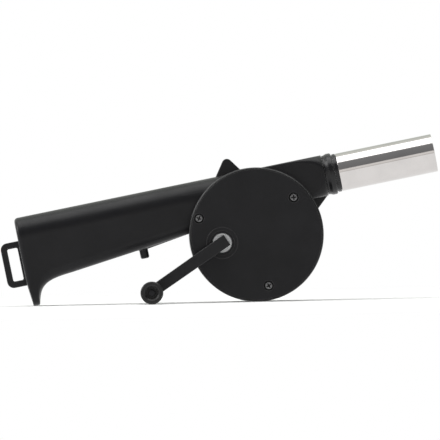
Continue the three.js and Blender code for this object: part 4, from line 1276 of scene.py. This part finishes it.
def metal_group():
    """Fine scratches and faint stains on bare or plated metal."""
    existing = bpy.data.node_groups.get("Metal surface")
    if existing:
        return existing
    group, enter, leave = surface_group("Metal surface", [
        ("Scale", "NodeSocketFloat", 900.0), ("Stretch", "NodeSocketVector", (1, 1, 1))])
    place = node(group, "ShaderNodeTexCoord").outputs["Object"]
    drawn = node(group, "ShaderNodeVectorMath", [(0, place), (1, enter["Stretch"])],
                 operation="MULTIPLY")
    lines = noise(group, drawn.outputs["Vector"], enter["Scale"], detail=4.0, roughness=0.6)
    stains = noise(group, place, scale=90.0, detail=5.0)
    spread = ranged(group, stains, 0.35, 0.7, low=1.0, high=0.93)
    dull = ranged(group, lines, 0.3, 0.7, low=-0.03, high=0.05)
    group.links.new(blend(group, 1.0, enter["Colour"], spread, "MULTIPLY"), leave["Colour"])
    group.links.new(maths(group, "ADD", enter["Roughness"], dull), leave["Roughness"])
    group.links.new(lines, leave["Height"])
    return group


def new_material(name):
    """A material with its shader, and the shader's tree."""
    material = bpy.data.materials.new(name)
    material.use_nodes = True
    tree = material.node_tree
    return material, tree, tree.nodes["Principled BSDF"]


def surfaced(name, group, values, depth, distance, constants):
    """A material whose colour, roughness and bump come from a group; constants go to the shader."""
    existing = bpy.data.materials.get(name)
    if existing:
        return existing
    material, tree, shader = new_material(name)
    surface = node(tree, "ShaderNodeGroup", values, node_tree=group)
    bump = node(tree, "ShaderNodeBump", [
        ("Strength", depth), ("Distance", distance), ("Height", surface.outputs["Height"])])
    tree.links.new(surface.outputs["Colour"], shader.inputs["Base Color"])
    tree.links.new(surface.outputs["Roughness"], shader.inputs["Roughness"])
    tree.links.new(bump.outputs["Normal"], shader.inputs["Normal"])
    for label, value in constants.items():
        shader.inputs[label].default_value = value
    return material


PLASTIC_BUMP = 0.2 * MM
METAL_BUMP = 0.05 * MM


def moulded_plastic(name, colour, roughness, wear_and_highlight, depth, gloss=0.26):
    """Black or grey moulded plastic with a fine grain."""
    return surfaced(name, grain_group(), [
        ("Colour", (*colour, 1)), ("Roughness", roughness),
        ("Grain Scale", 1 / settings().finish.grain), ("Wear And Highlight", wear_and_highlight)], depth, PLASTIC_BUMP,
        {"IOR": 1.5, "Specular IOR Level": gloss, "Sheen Weight": 0.2, "Sheen Roughness": 0.35})


def metal(name, colour, roughness, scale, stretch, depth):
    """A metal material from the shared surface group."""
    return surfaced(name, metal_group(), [
        ("Colour", (*colour, 1)), ("Roughness", roughness), ("Scale", scale),
        ("Stretch", stretch)], depth, METAL_BUMP, {"Metallic": 1.0})


def plated_steel(name, colour, roughness):
    """Plated or ground metal of the small pieces."""
    return metal(name, colour, roughness, scale=1500.0, stretch=(1, 1, 1), depth=0.15)


def polished_steel():
    """Polished stainless tube, with faint lines along it from drawing."""
    return metal("Polished stainless", settings().finish.tube, roughness=0.07, scale=900.0,
                 stretch=(0.04, 1, 1), depth=0.02)


# Stage


SOFTBOX_PLACE = (100 * MM, -55 * MM)  # x and y of its middle
SENSOR_WIDTH = 36.0
BACKDROP_NEAR = 250 * MM  # where the floor's shadows begin to fade into the backdrop
BACKDROP_FAR = 600 * MM
KEY_DIRECTION = (-0.83, -0.1, 0.55)  # towards the glow of a light at the upper left
KEY_RADIANCE = 5.0
KEY_EDGE = (0.93, 0.98)  # cosines at which the glow begins and is full
HORIZON = 0.13  # height of the white backdrop in reflections, as a share of straight up
ROOM_BLEND = 0.03
# Brightness of the room by height, in front of the blower and behind it
ROOM_FRONT = (
    (0.0, (0.6, 0.58, 0.56)), (0.04, (0.62, 0.6, 0.58)), (0.06, (0.88, 0.86, 0.84)),
    (0.235, (0.88, 0.86, 0.84)), (0.265, (0.2, 0.2, 0.205)), (0.84, (0.24, 0.245, 0.25)),
    (0.89, (0.7, 0.7, 0.7)), (1.0, (0.7, 0.7, 0.7)))
ROOM_REAR = (
    (0.0, (0.9, 0.9, 0.9)), (0.13, (0.9, 0.9, 0.9)), (0.2, (0.6, 0.62, 0.58)),
    (0.7, (0.68, 0.71, 0.66)), (0.9, (0.85, 0.87, 0.83)), (1.0, (0.85, 0.85, 0.85)))
FLOOR_SHADE = (0.92, 0.92, 0.92)


class BLOWER_OT_stage(bpy.types.Operator):
    """Sets up the floor, the light and the camera"""

    bl_idname = "blower.stage"
    bl_label = "Stage"

    def execute(self, context):
        studio = settings().studio
        scene = bpy.context.scene
        scene.view_settings.view_transform = "Standard"
        floor = as_object(disc(studio.floor_radius), "floor")
        floor.data.materials.append(floor_paint())
        scene.world = studio_world()
        lamp_data = bpy.data.lights.new("overhead_softbox", "AREA")
        lamp_data.shape = "RECTANGLE"
        lamp_data.size = studio.softbox_width
        lamp_data.size_y = studio.softbox_depth
        lamp_data.energy = studio.softbox
        lamp = bpy.data.objects.new("overhead_softbox", lamp_data)
        lamp.location = (*SOFTBOX_PLACE, studio.softbox_height)
        scene.collection.objects.link(lamp)
        camera_data = bpy.data.cameras.new("camera")
        camera_data.sensor_width = SENSOR_WIDTH
        camera_data.lens = SENSOR_WIDTH * studio.distance / studio.frame_width
        camera_data.clip_start = 0.01
        camera_data.clip_end = 50.0
        camera = bpy.data.objects.new("camera", camera_data)
        face = FAN.y - settings().housing.drum_front
        back_off = studio.distance * math.cos(studio.height)
        camera.location = (-back_off * math.sin(studio.turn), face - back_off * math.cos(studio.turn),
                           studio.aim_height + studio.distance * math.sin(studio.height))
        turned = (Matrix.Rotation(-studio.turn, 3, "Z") @ Matrix.Rotation(-studio.height, 3, "X")
                  @ Matrix.Rotation(studio.roll, 3, "Y") @ Matrix.Rotation(math.pi / 2, 3, "X"))
        camera.rotation_euler = turned.to_euler()
        scene.collection.objects.link(camera)
        scene.camera = camera
        return {"FINISHED"}


def disc(radius):
    """A flat round floor."""
    shape = bmesh.new()
    bmesh.ops.create_circle(shape, cap_ends=True, radius=radius, segments=96)
    return shape


def floor_paint():
    """Pale floor that keeps the blower's shadow, white farther out and in reflections."""
    material, tree, shader = new_material("Studio floor")
    shader.inputs["Base Color"].default_value = (*FLOOR_SHADE, 1)
    shader.inputs["Roughness"].default_value = 0.9
    shader.inputs["Specular IOR Level"].default_value = 0.0
    place = node(tree, "ShaderNodeTexCoord").outputs["Object"]
    reach = node(tree, "ShaderNodeVectorMath", [(0, place)], operation="LENGTH")
    away = ranged(tree, reach.outputs["Value"], BACKDROP_NEAR, BACKDROP_FAR, ease="SMOOTHSTEP")
    rays = node(tree, "ShaderNodeLightPath")
    backdrop = maths(tree, "MAXIMUM", away, rays.outputs["Is Glossy Ray"])
    white = node(tree, "ShaderNodeEmission", [("Color", (1, 1, 1, 1)), ("Strength", 1.0)])
    mixed = node(tree, "ShaderNodeMixShader", [
        ("Fac", backdrop), (1, shader.outputs["BSDF"]), (2, white.outputs["Emission"])])
    tree.links.new(mixed.outputs["Shader"], tree.nodes["Material Output"].inputs["Surface"])
    return material


def studio_world():
    """Soft studio: white behind, a softbox's glow above, a dark room above and behind the camera."""
    world = bpy.data.worlds.new("Studio")
    world.use_nodes = True
    tree = world.node_tree
    tree.nodes.clear()
    direction = node(tree, "ShaderNodeTexCoord").outputs["Generated"]
    parts = node(tree, "ShaderNodeSeparateXYZ", [("Vector", direction)])
    front = ramp(tree, parts.outputs["Z"], ROOM_FRONT)
    rear = ramp(tree, parts.outputs["Z"], ROOM_REAR)
    behind = ranged(tree, parts.outputs["Y"], -ROOM_BLEND, ROOM_BLEND)
    room = blend(tree, behind, front, rear)
    towards = node(tree, "ShaderNodeVectorMath", [(0, direction), (1, KEY_DIRECTION)],
                   operation="DOT_PRODUCT")
    side = ranged(tree, towards.outputs["Value"], *KEY_EDGE, ease="SMOOTHSTEP")
    room = blend(tree, side, room, (KEY_RADIANCE, KEY_RADIANCE, KEY_RADIANCE, 1))
    rays = node(tree, "ShaderNodeLightPath")
    low = maths(tree, "LESS_THAN", parts.outputs["Z"], HORIZON)
    backdrop = maths(tree, "MULTIPLY", behind, low)
    mirror = maths(tree, "MAXIMUM", rays.outputs["Is Glossy Ray"],
                   rays.outputs["Is Transmission Ray"])
    shown = maths(tree, "MULTIPLY", mirror, backdrop)
    white = maths(tree, "MAXIMUM", shown, rays.outputs["Is Camera Ray"])
    colour = blend(tree, white, room, (1, 1, 1, 1))
    glow = node(tree, "ShaderNodeBackground", [("Color", colour), ("Strength", 1.0)])
    node(tree, "ShaderNodeOutputWorld", [("Surface", glow.outputs["Background"])])
    return world


def ramp(tree, height, stops):
    """The colour at a height in a row of (height, colour) stops."""
    made = node(tree, "ShaderNodeValToRGB", [("Fac", height)])
    elements = made.color_ramp.elements
    while len(elements) < len(stops):
        elements.new(0.5)
    for element, (place, colour) in zip(elements, stops):
        element.position = place
        element.color = (*colour, 1)
    return made.outputs["Color"]


class BlowerSettings(bpy.types.PropertyGroup):
    """All settings of the blower."""

    housing: PointerProperty(type=BlowerHousing)
    cover: PointerProperty(type=BlowerCover)
    crank: PointerProperty(type=BlowerCrank)
    nozzle: PointerProperty(type=BlowerNozzle)
    finish: PointerProperty(type=BlowerFinish)
    studio: PointerProperty(type=BlowerStudio)


STEPS = (BLOWER_OT_stage, BLOWER_OT_housing, BLOWER_OT_cover, BLOWER_OT_screws, BLOWER_OT_crank,
         BLOWER_OT_knob, BLOWER_OT_nozzle, BLOWER_OT_works)


class BLOWER_PT_panel(bpy.types.Panel):
    """Lists the blower's pieces and their settings"""

    bl_idname = "BLOWER_PT_panel"
    bl_label = "Hand Crank Blower"
    bl_space_type = "VIEW_3D"
    bl_region_type = "UI"
    bl_category = "Blower"

    def draw(self, context):
        layout = self.layout
        for step in STEPS:
            layout.operator(step.bl_idname)
        groups = context.scene.blower
        for name in BlowerSettings.__annotations__:
            box = layout.box()
            box.label(text=name.capitalize())
            group = getattr(groups, name)
            for field in type(group).__annotations__:
                box.prop(group, field)


CLASSES = (BlowerHousing, BlowerCover, BlowerCrank, BlowerNozzle, BlowerFinish, BlowerStudio,
           BlowerSettings, *STEPS, BLOWER_PT_panel)


def register():
    """Adds the classes and the scene's settings."""
    for cls in CLASSES:
        bpy.utils.register_class(cls)
    bpy.types.Scene.blower = PointerProperty(type=BlowerSettings)


def unregister():
    """Takes the settings and the classes out again."""
    del bpy.types.Scene.blower
    for cls in reversed(CLASSES):
        bpy.utils.unregister_class(cls)


def main():
    """Builds the whole blower."""
    register()
    bpy.ops.blower.stage()
    bpy.ops.blower.housing()
    bpy.ops.blower.cover()
    bpy.ops.blower.screws()
    bpy.ops.blower.crank()
    bpy.ops.blower.knob()
    bpy.ops.blower.nozzle()
    bpy.ops.blower.works()


if __name__ == "__main__":
    main()
